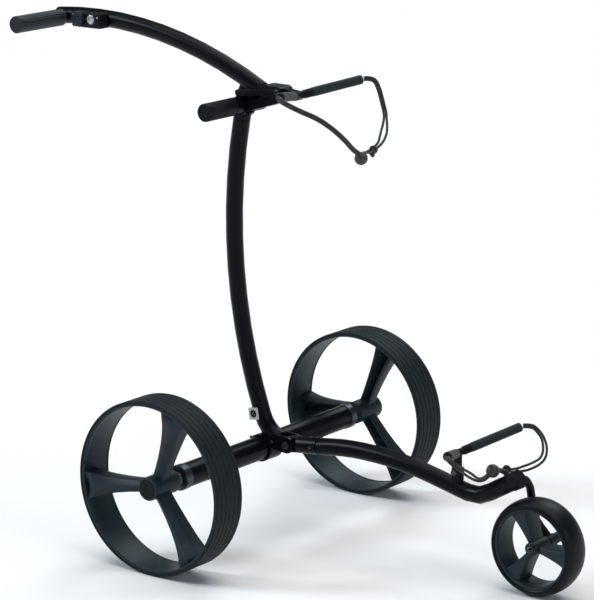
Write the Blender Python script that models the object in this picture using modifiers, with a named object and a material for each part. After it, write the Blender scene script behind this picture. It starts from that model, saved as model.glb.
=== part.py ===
"""Three-wheel electric golf trolley. Metres, +X forward, +Y left, +Z up, origin on the floor under its middle."""

from math import asin, cos, pi, radians, sin

import bmesh
import bpy
from mathutils import Matrix, Vector

# Driving dimensions
GAP = 0.0003  # clearance between pieces that touch
REAR_AXLE = Vector((-0.091, 0, 0.150))
REAR_TYRE_RADIUS = 0.150
REAR_TYRE_THICKNESS = 0.0043
WHEEL_INNER_FACE = 0.253
WHEEL_WIDTH = 0.066
SPOKE_ANGLES = (68, 188, 308)
AXLE_TUBE_RADIUS = 0.021
AXLE_TUBE_HALF_LENGTH = 0.224
AXLE_TUBE_WALL = 0.0022
FRAME_TUBE_RADIUS = 0.015
FRAME_TUBE_WALL = 0.0018
MAST_ARC_CENTRE = (0.7857, 0.5406)
MAST_ARC_RADIUS = 0.9447
MAST_TOP_Z = 0.7225
MAST_BEND_Z = 0.205
MAST_BEND_RADIUS = 0.0635
FRONT_FOLD = Vector((-0.035, 0, 0.164))
COUPLER_TILT = 5.9
COUPLER_LENGTH = 0.0612
FRONT_AXLE = Vector((0.474, 0, 0.082))
FRONT_TYRE_RADIUS = 0.082
FRONT_TYRE_WIDTH = 0.052
FRONT_RIM_RADIUS = 0.0685
FRONT_TUBE_END = Vector((0.4215, 0, 0.1817))
FRONT_TUBE_RISE = 30
HANDLE_FOLD = Vector((-0.137, 0, 0.748))
HANDLE_ARC_CENTRE = (-0.4732, 0.056)
HANDLE_ARC_RADIUS = 0.8127
HANDLE_FRONT_X = -0.0975
HANDLE_REAR_X = -0.55495
GRIP_AXIS = Vector((-0.536, 0, 0.864))
CONTROL_FACE_Y = -0.034
DIAL_CENTRE = Vector((-0.4796, 0, 0.8690))
BUTTON_CENTRE = Vector((-0.4510, 0, 0.8690))
SPRING_TURNS = 2
SPRING_RADIUS = 0.0045
SPRING_LENGTH = 0.0032  # pressed, so that the button clears it at the end of its travel
SPRING_WIRE_RADIUS = 0.00035
LEVER_PIVOT = Vector((-0.050, 0, 0.7805))
UPPER_FORK_ROOT = Vector((-0.022, 0, 0.7746))
UPPER_SLEEVE_TIP = Vector((0.0296, 0.1139, 0.7932))
LOWER_FORK_ROOT = Vector((0.3127, 0, 0.2111))
LOWER_SLEEVE_TIP = Vector((0.3668, 0.1088, 0.2413))
SLEEVE_RADIUS = 0.008
SLEEVE_LENGTH = 0.100
CORD_RADIUS = 0.00225
STRAND_OFFSET = CORD_RADIUS + 0.00025
BALL_RADIUS = 0.0115
KNOT_RADIUS = 0.0075
STEPS = 22
ACROSS = Vector((0, 1, 0))

for old in list(bpy.data.objects):
    bpy.data.objects.remove(old, do_unlink=True)
PARTS = bpy.data.collections.new("electric_golf_trolley")
CUTTERS = bpy.data.collections.new("cutters")
for group in (PARTS, CUTTERS):
    bpy.context.scene.collection.children.link(group)
CUTTERS.hide_render = True

SATIN_BLACK = ((0.012, 0.014, 0.018), 0.38, 0.6)
BLACK_PLASTIC = ((0.015, 0.016, 0.018), 0.55, 0.0)
SLATE_PLASTIC = ((0.024, 0.036, 0.046), 0.52, 0.0)
RUBBER = ((0.016, 0.018, 0.021), 0.75, 0.0)
FOAM = ((0.022, 0.027, 0.026), 0.9, 0.0)
ELASTIC = ((0.018, 0.019, 0.018), 0.85, 0.0)
STEEL = ((0.45, 0.45, 0.46), 0.3, 1.0)
DARK_STEEL = ((0.05, 0.05, 0.055), 0.3, 1.0)
SOCKET_GREY = ((0.42, 0.41, 0.38), 0.55, 0.0)
BOARD_GREEN = ((0.01, 0.09, 0.03), 0.6, 0.0)


def material(name, finish):
    """A Principled material of one colour, roughness and metallic value."""
    colour, roughness, metallic = finish
    made = bpy.data.materials.new(name)
    made.use_nodes = True
    shader = made.node_tree.nodes["Principled BSDF"]
    shader.inputs["Base Color"].default_value = (*colour, 1)
    shader.inputs["Roughness"].default_value = roughness
    shader.inputs["Metallic"].default_value = metallic
    return made


def place(obj, finish, parent=None):
    """Puts an object among the parts, or among the cutters when it has no finish."""
    if finish is None:
        CUTTERS.objects.link(obj)
        obj.hide_render = True
        obj.display_type = "WIRE"
    else:
        PARTS.objects.link(obj)
        obj.data.materials.append(material(obj.name, finish))
    if parent:
        obj.parent = parent
        obj.matrix_parent_inverse = parent.matrix_world.inverted()
    return obj


def pivot(name, at):
    """An empty on a joint's axis, which carries the pieces that move about it."""
    empty = bpy.data.objects.new(name, None)
    empty.location = at
    PARTS.objects.link(empty)
    bpy.context.view_layer.update()
    return empty


def smooth(obj, angle=32):
    obj.data.shade_smooth()
    obj.data.set_sharp_from_angle(angle=radians(angle))
    return obj


def turned(name, profile, finish, parent=None, at=(0, 0, 0), rotation=(0, 0, 0), steps=STEPS, ring=False):
    """Turns a profile of (radius, height) about local Z. It runs from the top down its outer side."""
    mesh = bpy.data.meshes.new(name)
    points = [(radius, 0, height) for radius, height in profile]
    edges = [(i, i + 1) for i in range(len(points) - 1)]
    if ring:
        edges.append((len(points) - 1, 0))
    mesh.from_pydata(points, edges, [])
    obj = bpy.data.objects.new(name, mesh)
    obj.location = at
    obj.rotation_euler = rotation
    screw = obj.modifiers.new("turn", "SCREW")
    screw.steps = screw.render_steps = steps
    screw.use_merge_vertices = True
    screw.merge_threshold = 0.00001
    screw.use_smooth_shade = True
    place(obj, finish, parent)
    return obj


def rod(name, radius, start, end, finish, parent=None, steps=STEPS):
    """A round bar between two points."""
    start, end = Vector(start), Vector(end)
    mesh = bpy.data.meshes.new(name)
    shape = bmesh.new()
    length = (end - start).length
    bmesh.ops.create_cone(shape, cap_ends=True, segments=steps, radius1=radius, radius2=radius, depth=length)
    shape.to_mesh(mesh)
    shape.free()
    obj = smooth(bpy.data.objects.new(name, mesh))
    obj.location = (start + end) / 2
    obj.rotation_euler = (end - start).to_track_quat("Z", "Y").to_euler()
    return place(obj, finish, parent)


def block(name, size, at, finish, parent=None, tilt=0.0, edge=0.0):
    """A box, turned by tilt degrees about Y, with bevelled edges."""
    mesh = bpy.data.meshes.new(name)
    shape = bmesh.new()
    bmesh.ops.create_cube(shape, size=1, matrix=Matrix.Diagonal((*size, 1)))
    shape.to_mesh(mesh)
    shape.free()
    obj = bpy.data.objects.new(name, mesh)
    obj.location = at
    obj.rotation_euler = (0, radians(tilt), 0)
    if edge:
        bevel = obj.modifiers.new("edges", "BEVEL")
        bevel.width = edge
        bevel.segments = 2
    return place(obj, finish, parent)


def meshed(obj):
    """The evaluated object as a mesh object of the same name, with its caps welded."""
    bpy.context.view_layer.update()
    graph = bpy.context.evaluated_depsgraph_get()
    mesh = bpy.data.meshes.new_from_object(obj.evaluated_get(graph), depsgraph=graph)
    shape = bmesh.new()
    shape.from_mesh(mesh)
    bmesh.ops.remove_doubles(shape, verts=shape.verts, dist=0.000005)
    bmesh.ops.recalc_face_normals(shape, faces=shape.faces)
    shape.to_mesh(mesh)
    shape.free()
    name, world, homes = obj.name, obj.matrix_world.copy(), obj.users_collection
    bpy.data.objects.remove(obj, do_unlink=True)
    made = bpy.data.objects.new(name, mesh)
    made.matrix_world = world
    for home in homes:
        home.objects.link(made)
    if CUTTERS in homes:
        made.hide_render = True
        made.display_type = "WIRE"
    return made


def tube(name, points, radius, finish, wall=0.0, sides=2):
    """A tube along points, solid or with a wall of the given thickness, as a mesh."""
    curve = bpy.data.curves.new(name, "CURVE")
    curve.dimensions = "3D"
    curve.bevel_depth = radius
    curve.bevel_resolution = sides
    curve.use_fill_caps = not wall
    spline = curve.splines.new("POLY")
    spline.points.add(len(points) - 1)
    for point, place_at in zip(spline.points, points):
        point.co = (*place_at, 1)
    obj = place(bpy.data.objects.new(name, curve), finish)
    if wall:
        shell = obj.modifiers.new("wall", "SOLIDIFY")
        shell.thickness = wall
        shell.offset = -1
    return obj


def plate(name, circles, half_width, finish, y=0.0, parent=None):
    """A flat piece in the XZ plane: the outline that wraps round circles of (x, z, radius)."""
    points = []
    for x, z, radius in circles:
        points += [(x + radius * cos(pi * i / 12), z + radius * sin(pi * i / 12)) for i in range(24)]
    outline = hull(points)
    curve = bpy.data.curves.new(name, "CURVE")
    curve.dimensions = "2D"
    curve.fill_mode = "BOTH"
    curve.extrude = half_width
    spline = curve.splines.new("POLY")
    spline.points.add(len(outline) - 1)
    for point, (x, z) in zip(spline.points, outline):
        point.co = (x, z, 0, 1)
    spline.use_cyclic_u = True
    obj = bpy.data.objects.new(name, curve)
    obj.rotation_euler = (pi / 2, 0, 0)
    obj.location = (0, y, 0)
    made = meshed(place(obj, finish))
    if parent:
        made.parent = parent
        made.matrix_parent_inverse = parent.matrix_world.inverted()
    return made


def hull(points):
    """The convex outline round points, anticlockwise."""
    ordered = sorted(set((round(x, 6), round(z, 6)) for x, z in points))
    halves = []
    for run in (ordered, ordered[::-1]):
        half = []
        for x, z in run:
            while len(half) > 1 and turn(half[-2], half[-1], (x, z)) <= 1e-10:
                half.pop()
            half.append((x, z))
        halves += half[:-1]
    return halves


def turn(a, b, c):
    return (b[0] - a[0]) * (c[1] - a[1]) - (b[1] - a[1]) * (c[0] - a[0])


def boolean(obj, operation, *others):
    """Joins others to an object, or cuts them from it. Each other piece becomes a helper."""
    for other in others:
        if other.name in PARTS.objects:
            PARTS.objects.unlink(other)
            CUTTERS.objects.link(other)
            other.hide_render = True
            other.display_type = "WIRE"
        step = obj.modifiers.new(operation.lower(), "BOOLEAN")
        step.operation = operation
        step.object = other
    return obj


def smooth_route(points, spacing):
    """Evenly spaced points on a smooth curve through a route's own points."""
    route = [Vector(point) for point in points]
    route = [2 * route[0] - route[1], *route, 2 * route[-1] - route[-2]]
    fine = []
    for a, b, c, d in zip(route, route[1:], route[2:], route[3:]):
        for i in range(24):
            t = i / 24
            fine.append(
                (2 * b + (c - a) * t + (2 * a - 5 * b + 4 * c - d) * t**2 + (3 * b - a - 3 * c + d) * t**3) / 2
            )
    fine.append(route[-2])
    return even(fine, spacing)


def even(fine, spacing):
    """Resamples a dense run of points at about the given spacing, keeping both ends."""
    lengths = [0.0]
    for a, b in zip(fine, fine[1:]):
        lengths.append(lengths[-1] + (b - a).length)
    count = max(2, round(lengths[-1] / spacing))
    found, at = [], 0
    for i in range(count + 1):
        wanted = lengths[-1] * i / count
        while at < len(fine) - 2 and lengths[at + 1] < wanted:
            at += 1
        span = lengths[at + 1] - lengths[at]
        found.append(fine[at].lerp(fine[at + 1], (wanted - lengths[at]) / span if span else 0))
    return found


def mast_line():
    """Centreline of the mast: a long arc, a tight bend forward over the axle and a short straight end."""
    cx, cz = MAST_ARC_CENTRE
    top = pi - asin((MAST_TOP_Z - cz) / MAST_ARC_RADIUS)
    low = pi - asin((MAST_BEND_Z - cz) / MAST_ARC_RADIUS)
    count = 10
    points = []
    for i in range(count + 1):
        angle = top + (low - top) * i / count
        points.append(Vector((cx + MAST_ARC_RADIUS * cos(angle), 0, cz + MAST_ARC_RADIUS * sin(angle))))
    heading = low + pi / 2
    bend_x = points[-1].x - MAST_BEND_RADIUS * sin(heading)
    bend_z = points[-1].z + MAST_BEND_RADIUS * cos(heading)
    level = 2 * pi + radians(4)
    for i in range(1, 7):
        angle = heading + (level - heading) * i / 6
        points.append(
            Vector((bend_x + MAST_BEND_RADIUS * sin(angle), 0, bend_z - MAST_BEND_RADIUS * cos(angle)))
        )
    return [point for point in points if point.x < FRONT_FOLD.x - 0.016 or point.z > 0.2]


def handle_line():
    """Centreline of the handle tube, an arc from its front end to its rear end."""
    cx, cz = HANDLE_ARC_CENTRE
    first = asin((HANDLE_FRONT_X - cx) / HANDLE_ARC_RADIUS)
    last = asin((HANDLE_REAR_X - cx) / HANDLE_ARC_RADIUS)
    angles = [first + (last - first) * i / 10 for i in range(11)]
    return [Vector((cx + HANDLE_ARC_RADIUS * sin(a), 0, cz + HANDLE_ARC_RADIUS * cos(a))) for a in angles]


def front_line():
    """Centreline of the front tube, which rises again in front of the lower bag rest."""
    route = [
        (0.0283, 0, 0.1705), (0.090, 0, 0.1778), (0.160, 0, 0.1775), (0.225, 0, 0.1708),
        (0.290, 0, 0.1575), (0.330, 0, 0.1482), (0.352, 0, 0.1462), (0.372, 0, 0.1525),
        (0.396, 0, 0.1667), FRONT_TUBE_END,
    ]
    return smooth_route(route, 0.024)


def sided(side):
    return "left" if side > 0 else "right"


def outboard(side):
    """Rotation that turns local +Z away from the middle of the trolley."""
    return (-side * pi / 2, 0, 0)


def axle_and_drive():
    """Axle tube with a motor, a gearbox, a shaft, a bearing and an end flange at each side."""
    axle = tube(
        "axle_tube",
        [REAR_AXLE + Vector((0, y, 0)) for y in (-AXLE_TUBE_HALF_LENGTH, AXLE_TUBE_HALF_LENGTH)],
        AXLE_TUBE_RADIUS, SATIN_BLACK, AXLE_TUBE_WALL, sides=11,
    )
    smooth(meshed(axle))
    inner = AXLE_TUBE_RADIUS - AXLE_TUBE_WALL - 2 * GAP
    for side in (-1, 1):
        turning = {"at": REAR_AXLE, "rotation": outboard(side)}
        end = AXLE_TUBE_HALF_LENGTH
        flange = [
            (0.0113, end + 0.017), (0.0205, end + 0.017), (0.0222, end + 0.015), (0.0222, end + GAP),
            (inner, end + GAP), (inner, end - 0.009), (0.0113, end - 0.009),
        ]
        turned(f"end_flange_{sided(side)}", flange, DARK_STEEL, ring=True, **turning)
        bearing = [
            (0.0053, end + 0.014), (0.0110, end + 0.014), (0.0110, end + 0.004), (0.0053, end + 0.004),
        ]
        turned(f"shaft_bearing_{sided(side)}", bearing, STEEL, ring=True, steps=20, **turning)
        gearbox = [
            (0, 0.184), (0.0053, 0.184), (0.0053, 0.214), (0.0180, 0.214), (0.0182, 0.165), (0, 0.165),
        ]
        turned(f"gearbox_{sided(side)}", gearbox, STEEL, **turning)
        motor = [(0, 0.1647), (0.0180, 0.1647), (0.0182, 0.070), (0.010, 0.067), (0.010, 0.060), (0, 0.060)]
        turned(f"motor_{sided(side)}", motor, DARK_STEEL, **turning)
    block("control_board", (0.026, 0.090, 0.0016), REAR_AXLE, BOARD_GREEN)


def rear_wheel(side):
    """Rim with hub and three spokes, tyre, hub cap and the drive shaft that turns with them."""
    hub = pivot(f"rear_wheel_{sided(side)}", REAR_AXLE)
    turning = {"at": REAR_AXLE, "rotation": outboard(side), "parent": hub}
    inner, outer = WHEEL_INNER_FACE, WHEEL_INNER_FACE + WHEEL_WIDTH
    bead = REAR_TYRE_RADIUS - REAR_TYRE_THICKNESS
    tyre = [
        (bead, outer), (REAR_TYRE_RADIUS - 0.0025, outer), (REAR_TYRE_RADIUS, outer - 0.0035),
        (REAR_TYRE_RADIUS, inner + 0.0035), (REAR_TYRE_RADIUS - 0.0025, inner), (bead, inner),
    ]
    turned(f"rear_tyre_{sided(side)}", tyre, RUBBER, ring=True, steps=40, **turning)
    seat = bead - GAP
    hoop = [
        (seat - 0.0035, outer - 0.001), (seat, outer - 0.001), (seat, inner + 0.001), (seat - 0.0035, inner + 0.001),
        (seat - 0.0055, (inner + outer) / 2),
    ]
    rim = turned(f"rear_rim_{sided(side)}", hoop, SLATE_PLASTIC, ring=True, steps=40, **turning)
    boss = [
        (0, outer - 0.0036), (0.0158, outer - 0.0036), (0.0158, outer), (0.0190, outer),
        (0.0200, outer - 0.001), (0.0200, inner + 0.003), (0.0053, inner + 0.003), (0.0053, outer - 0.020),
        (0, outer - 0.020),
    ]
    joined = [turned(f"hub_{sided(side)}", boss, None, **turning)]
    for angle in SPOKE_ANGLES:
        joined.append(spoke(f"spoke_{sided(side)}_{angle}", -side * angle, side, hub))
    hollow = [(0, outer - 0.0036), (0.0158, outer - 0.0036), (0.0158, outer + 0.01), (0, outer + 0.01)]
    bore = [(0, outer - 0.020), (0.0053, outer - 0.020), (0.0053, inner - 0.01), (0, inner - 0.01)]
    boolean(rim, "UNION", *joined)
    boolean(
        rim, "DIFFERENCE",
        turned(f"cap_recess_{sided(side)}", hollow[::-1], None, **turning),
        turned(f"shaft_bore_{sided(side)}", bore, None, **turning),
    )
    cap = [
        (0, outer - 0.0002), (0.0145, outer - 0.0002), (0.0155, outer - 0.001), (0.0155, outer - 0.0033),
        (0, outer - 0.0033),
    ]
    turned(f"hub_cap_{sided(side)}", cap, BLACK_PLASTIC, **turning)
    shaft = [(0, outer - 0.0204), (0.0050, outer - 0.0204), (0.0050, 0.1845), (0, 0.1845)]
    turned(f"drive_shaft_{sided(side)}", shaft, STEEL, steps=16, **turning)


def spoke(name, angle, side, parent):
    """A spoke that widens from the hub to the rim, with a ridge along its outer face."""
    outer = WHEEL_INNER_FACE + WHEEL_WIDTH
    reach = REAR_TYRE_RADIUS - REAR_TYRE_THICKNESS - 0.004
    shape = bmesh.new()
    for radius, half, back, front, ridge in (
        (0.008, 0.0102, outer - 0.038, outer - 0.018, outer - 0.013),
        (reach, 0.0205, outer - 0.034, outer - 0.007, outer - 0.004),
    ):
        for across, along in ((-half, back), (half, back), (half, front), (0, ridge), (-half, front)):
            shape.verts.new((radius, across, along))
    bmesh.ops.convex_hull(shape, input=shape.verts)
    bmesh.ops.rotate(shape, verts=shape.verts, matrix=Matrix.Rotation(radians(angle), 3, "Z"))
    bmesh.ops.recalc_face_normals(shape, faces=shape.faces)
    mesh = bpy.data.meshes.new(name)
    shape.to_mesh(mesh)
    shape.free()
    obj = bpy.data.objects.new(name, mesh)
    obj.location = REAR_AXLE
    obj.rotation_euler = outboard(side)
    return place(obj, None, parent)


def mast():
    """Mast tube, its saddle on the axle tube and the ears of the front fold."""
    line = mast_line()
    body = meshed(tube("mast", line, FRAME_TUBE_RADIUS, SATIN_BLACK, FRAME_TUBE_WALL, sides=5))
    smooth(body)
    x, z = FRONT_FOLD.x, FRONT_FOLD.z
    ears = plate("fold_ears", [(x, z, 0.0145), (x - 0.030, z + 0.002, 0.0130)], 0.0157, None)
    saddle = rod(
        "saddle", 0.0245, REAR_AXLE - Vector((0, 0.018, 0)), REAR_AXLE + Vector((0, 0.018, 0)), None, steps=36
    )
    boolean(body, "UNION", ears, saddle)
    reach = Vector((0, 0.05, 0))
    axle_hole = rod("axle_hole", AXLE_TUBE_RADIUS + GAP, REAR_AXLE - reach, REAR_AXLE + reach, None, steps=36)
    slot = block("ear_slot", (0.050, 0.0196, 0.060), (x + 0.0070, 0, z), None)
    bolt_hole = rod("ear_hole", 0.0043, FRONT_FOLD - reach, FRONT_FOLD + reach, None, steps=16)
    boolean(body, "DIFFERENCE", axle_hole, slot, bolt_hole)
    bolt = rod(
        "fold_bolt", 0.0040, FRONT_FOLD - 0.0162 * ACROSS, FRONT_FOLD + 0.0190 * ACROSS, DARK_STEEL, steps=16
    )
    bolt_head = rod("fold_bolt_head", 0.0070, FRONT_FOLD - 0.0190 * ACROSS, FRONT_FOLD - 0.0161 * ACROSS, None, steps=16)
    boolean(bolt, "UNION", bolt_head)


def front_section():
    """Coupler, front tube, fork, front wheel and lower bag rest, all carried by the front fold."""
    fold = pivot("front_fold", FRONT_FOLD)
    along = Vector((cos(radians(COUPLER_TILT)), 0, sin(radians(COUPLER_TILT))))
    x, z = FRONT_FOLD.x, FRONT_FOLD.z
    tip = FRONT_FOLD + 0.024 * along
    coupler = plate(
        "front_coupler", [(x, z, 0.0135), (tip.x, tip.z, 0.0125)], 0.0093, SATIN_BLACK, parent=fold
    )
    body = rod(
        "coupler_body", 0.0148, FRONT_FOLD + 0.0185 * along, FRONT_FOLD + COUPLER_LENGTH * along, None, fold
    )
    spigot = rod("coupler_spigot", 0.0118, FRONT_FOLD + 0.05 * along, FRONT_FOLD + 0.082 * along, None, fold)
    boolean(coupler, "UNION", body, spigot)
    screw_at = FRONT_FOLD + 0.0505 * along
    screw_hole = rod("screw_hole", 0.0033, screw_at - 0.03 * ACROSS, screw_at + 0.03 * ACROSS, None, fold, 16)
    bolt_hole = rod(
        "tongue_hole", 0.0043, FRONT_FOLD - 0.03 * ACROSS, FRONT_FOLD + 0.03 * ACROSS, None, fold, 16
    )
    boolean(coupler, "DIFFERENCE", screw_hole, bolt_hole)
    rod("coupler_screw", 0.0030, screw_at - 0.0152 * ACROSS, screw_at + 0.0152 * ACROSS, DARK_STEEL, fold, 16)
    front = tube("front_tube", front_line(), FRAME_TUBE_RADIUS, SATIN_BLACK, FRAME_TUBE_WALL, sides=5)
    front = smooth(meshed(front))
    front.parent = fold
    front.matrix_parent_inverse = fold.matrix_world.inverted()
    fork(fold)
    front_wheel(fold)
    lower_bag_rest(fold)


def fork(fold):
    """Crown on the front tube's end and one arm that runs down the left side of the wheel."""
    rise = Vector((cos(radians(FRONT_TUBE_RISE)), 0, sin(radians(FRONT_TUBE_RISE))))
    crown = rod(
        "front_fork", 0.0158, FRONT_TUBE_END + 0.0010 * rise, FRONT_TUBE_END + 0.0175 * rise, BLACK_PLASTIC, fold
    )
    spigot = rod(
        "fork_spigot", 0.0122, FRONT_TUBE_END - 0.025 * rise, FRONT_TUBE_END + 0.005 * rise, None, fold
    )
    route = [
        (0.428, 0.004, 0.186), (0.432, 0.020, 0.184), (0.434, 0.034, 0.168), (0.4350, 0.0385, 0.147),
        (0.443, 0.0385, 0.115), (0.474, 0.0385, 0.082),
    ]
    arm = meshed(tube("fork_arm", smooth_route(route, 0.010), 0.0070, None, sides=3))
    boss = rod("fork_boss", 0.0098, FRONT_AXLE + 0.0265 * ACROSS, FRONT_AXLE + 0.0455 * ACROSS, None, fold)
    boolean(crown, "UNION", spigot, arm, boss)
    hole = rod("fork_hole", 0.0043, FRONT_AXLE + 0.01 * ACROSS, FRONT_AXLE + 0.06 * ACROSS, None, fold, 16)
    boolean(crown, "DIFFERENCE", hole)
    head = [
        (0, 0.0300), (0.0050, 0.0293), (0.0082, 0.0268), (0.0090, 0.0235), (0.0090, 0.0232), (0.0040, 0.0232),
        (0.0040, -0.0620), (0, -0.0620),
    ]
    turned("front_axle_bolt", head, DARK_STEEL, fold, FRONT_AXLE, outboard(-1), 20)
    nut = [
        (0.0043, 0.0660), (0.0080, 0.0660), (0.0090, 0.0650), (0.0090, 0.0500), (0.0100, 0.0490),
        (0.0100, 0.0458), (0.0043, 0.0458),
    ]
    turned("front_axle_nut", nut, BLACK_PLASTIC, fold, FRONT_AXLE, outboard(1), 20, ring=True)


def front_wheel(fold):
    """Front rim with three flat spokes, its round tyre and the bush that it turns on."""
    axle = pivot("front_wheel", FRONT_AXLE)
    axle.parent = fold
    axle.matrix_parent_inverse = fold.matrix_world.inverted()
    bpy.context.view_layer.update()
    turning = {"at": FRONT_AXLE, "rotation": outboard(-1), "parent": axle}
    half = FRONT_TYRE_WIDTH / 2
    depth = FRONT_TYRE_RADIUS - FRONT_RIM_RADIUS
    tyre = [(FRONT_RIM_RADIUS, half - 0.002), (FRONT_RIM_RADIUS + 0.003, half)]
    for i in range(7):
        angle = pi * (0.5 - i / 6)
        bulge = 0.75 * depth
        tyre.append(
            (FRONT_TYRE_RADIUS - bulge * (1 - cos(angle)), (half - 0.003) * sin(angle) + 0.003 * sin(angle))
        )
    tyre += [(FRONT_RIM_RADIUS + 0.003, -half), (FRONT_RIM_RADIUS, -half + 0.002)]
    turned("front_tyre", dedupe(tyre), RUBBER, ring=True, steps=32, **turning)
    seat = FRONT_RIM_RADIUS - GAP
    hoop = [
        (seat - 0.0035, half - 0.003), (seat, half - 0.003), (seat, 0.003 - half), (seat - 0.0035, 0.003 - half)
    ]
    rim = turned("front_rim", hoop, SLATE_PLASTIC, ring=True, steps=32, **turning)
    hub = [(0, 0.022), (0.0115, 0.022), (0.0115, -0.022), (0, -0.022)]
    joined = [turned("front_hub", hub, None, **turning)]
    for angle in (115, 235, 355):
        blade = bmesh.new()
        for radius, wide, deep in ((0.004, 0.004, 0.016), (seat - 0.0032, 0.0150, 0.021)):
            for across, along in ((-wide, -deep), (wide, -deep), (wide, deep), (-wide, deep)):
                blade.verts.new((radius, across, along))
        bmesh.ops.convex_hull(blade, input=blade.verts)
        bmesh.ops.rotate(blade, verts=blade.verts, matrix=Matrix.Rotation(radians(angle), 3, "Z"))
        bmesh.ops.recalc_face_normals(blade, faces=blade.faces)
        mesh = bpy.data.meshes.new(f"front_spoke_{angle}")
        blade.to_mesh(mesh)
        blade.free()
        arm = bpy.data.objects.new(mesh.name, mesh)
        arm.location, arm.rotation_euler = FRONT_AXLE, outboard(-1)
        joined.append(place(arm, None, axle))
    boolean(rim, "UNION", *joined)
    bore = rod("hub_bore", 0.0075, FRONT_AXLE - 0.04 * ACROSS, FRONT_AXLE + 0.04 * ACROSS, None, axle, 20)
    boolean(rim, "DIFFERENCE", bore)
    bush = [(0.0043, 0.0218), (0.0072, 0.0218), (0.0072, -0.0218), (0.0043, -0.0218)]
    turned("front_wheel_bush", bush, STEEL, steps=20, ring=True, **turning)


def dedupe(points):
    """Drops points that repeat the one before."""
    kept = [points[0]]
    for point in points[1:]:
        if abs(point[0] - kept[-1][0]) + abs(point[1] - kept[-1][1]) > 0.0004:
            kept.append(point)
    return kept


def mirrored(point, side):
    return Vector((point[0], side * point[1], point[2]))


def bag_fork(bracket, root, sleeve_tip, neck, label, parent=None):
    """The two arms of a bag rest and the foam sleeve on each."""
    direction = (sleeve_tip - root).normalized()
    start = sleeve_tip - SLEEVE_LENGTH * direction
    for side in (-1, 1):
        tip, sleeve_start = mirrored(sleeve_tip, side), mirrored(start, side)
        out = mirrored(direction, side)
        arm = rod(f"{label}_arm_{sided(side)}", 0.0045, root, tip - 0.004 * out, None, parent, 14)
        collar = rod(f"{label}_neck_{sided(side)}", neck, root, sleeve_start - 0.001 * out, None, parent, 16)
        boolean(bracket, "UNION", arm, collar)
        shell = [
            (0.0048, SLEEVE_LENGTH - 0.001), (0.0048, 0), (SLEEVE_RADIUS, 0), (SLEEVE_RADIUS, SLEEVE_LENGTH - 0.001),
        ]
        turned(
            f"{label}_sleeve_{sided(side)}", shell[::-1], FOAM, parent, sleeve_start,
            out.to_track_quat("Z", "Y").to_euler(), 20, ring=True,
        )


def lower_bag_rest(fold):
    """Bracket on top of the front tube, its stem, two arms with sleeves and the bracket's screw."""
    base = Vector((0.3130, 0, 0.1535))
    bracket = rod("lower_bracket", 0.0105, base, base + Vector((0.0010, 0, 0.0330)), BLACK_PLASTIC, fold)
    stem = rod("lower_stem", 0.0080, base, LOWER_FORK_ROOT, None, fold, 16)
    boolean(bracket, "UNION", stem)
    bag_fork(bracket, LOWER_FORK_ROOT, LOWER_SLEEVE_TIP, 0.0062, "lower", fold)
    tube_hole = meshed(tube("tube_hole", front_line(), FRAME_TUBE_RADIUS + GAP, None, sides=5))
    screw_at = Vector((0.3140, 0, 0.1805))
    screw_hole = rod(
        "clamp_screw_hole", 0.0033, screw_at - 0.02 * ACROSS, screw_at + 0.02 * ACROSS, None, fold, 16
    )
    boolean(bracket, "DIFFERENCE", tube_hole, screw_hole)
    screw = rod(
        "bracket_screw", 0.0030, screw_at - 0.0112 * ACROSS, screw_at + 0.0095 * ACROSS, STEEL, fold, 16
    )
    screw_head = rod("screw_head", 0.0052, screw_at - 0.0141 * ACROSS, screw_at - 0.0109 * ACROSS, None, fold, 16)
    boolean(screw, "UNION", screw_head)


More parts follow.
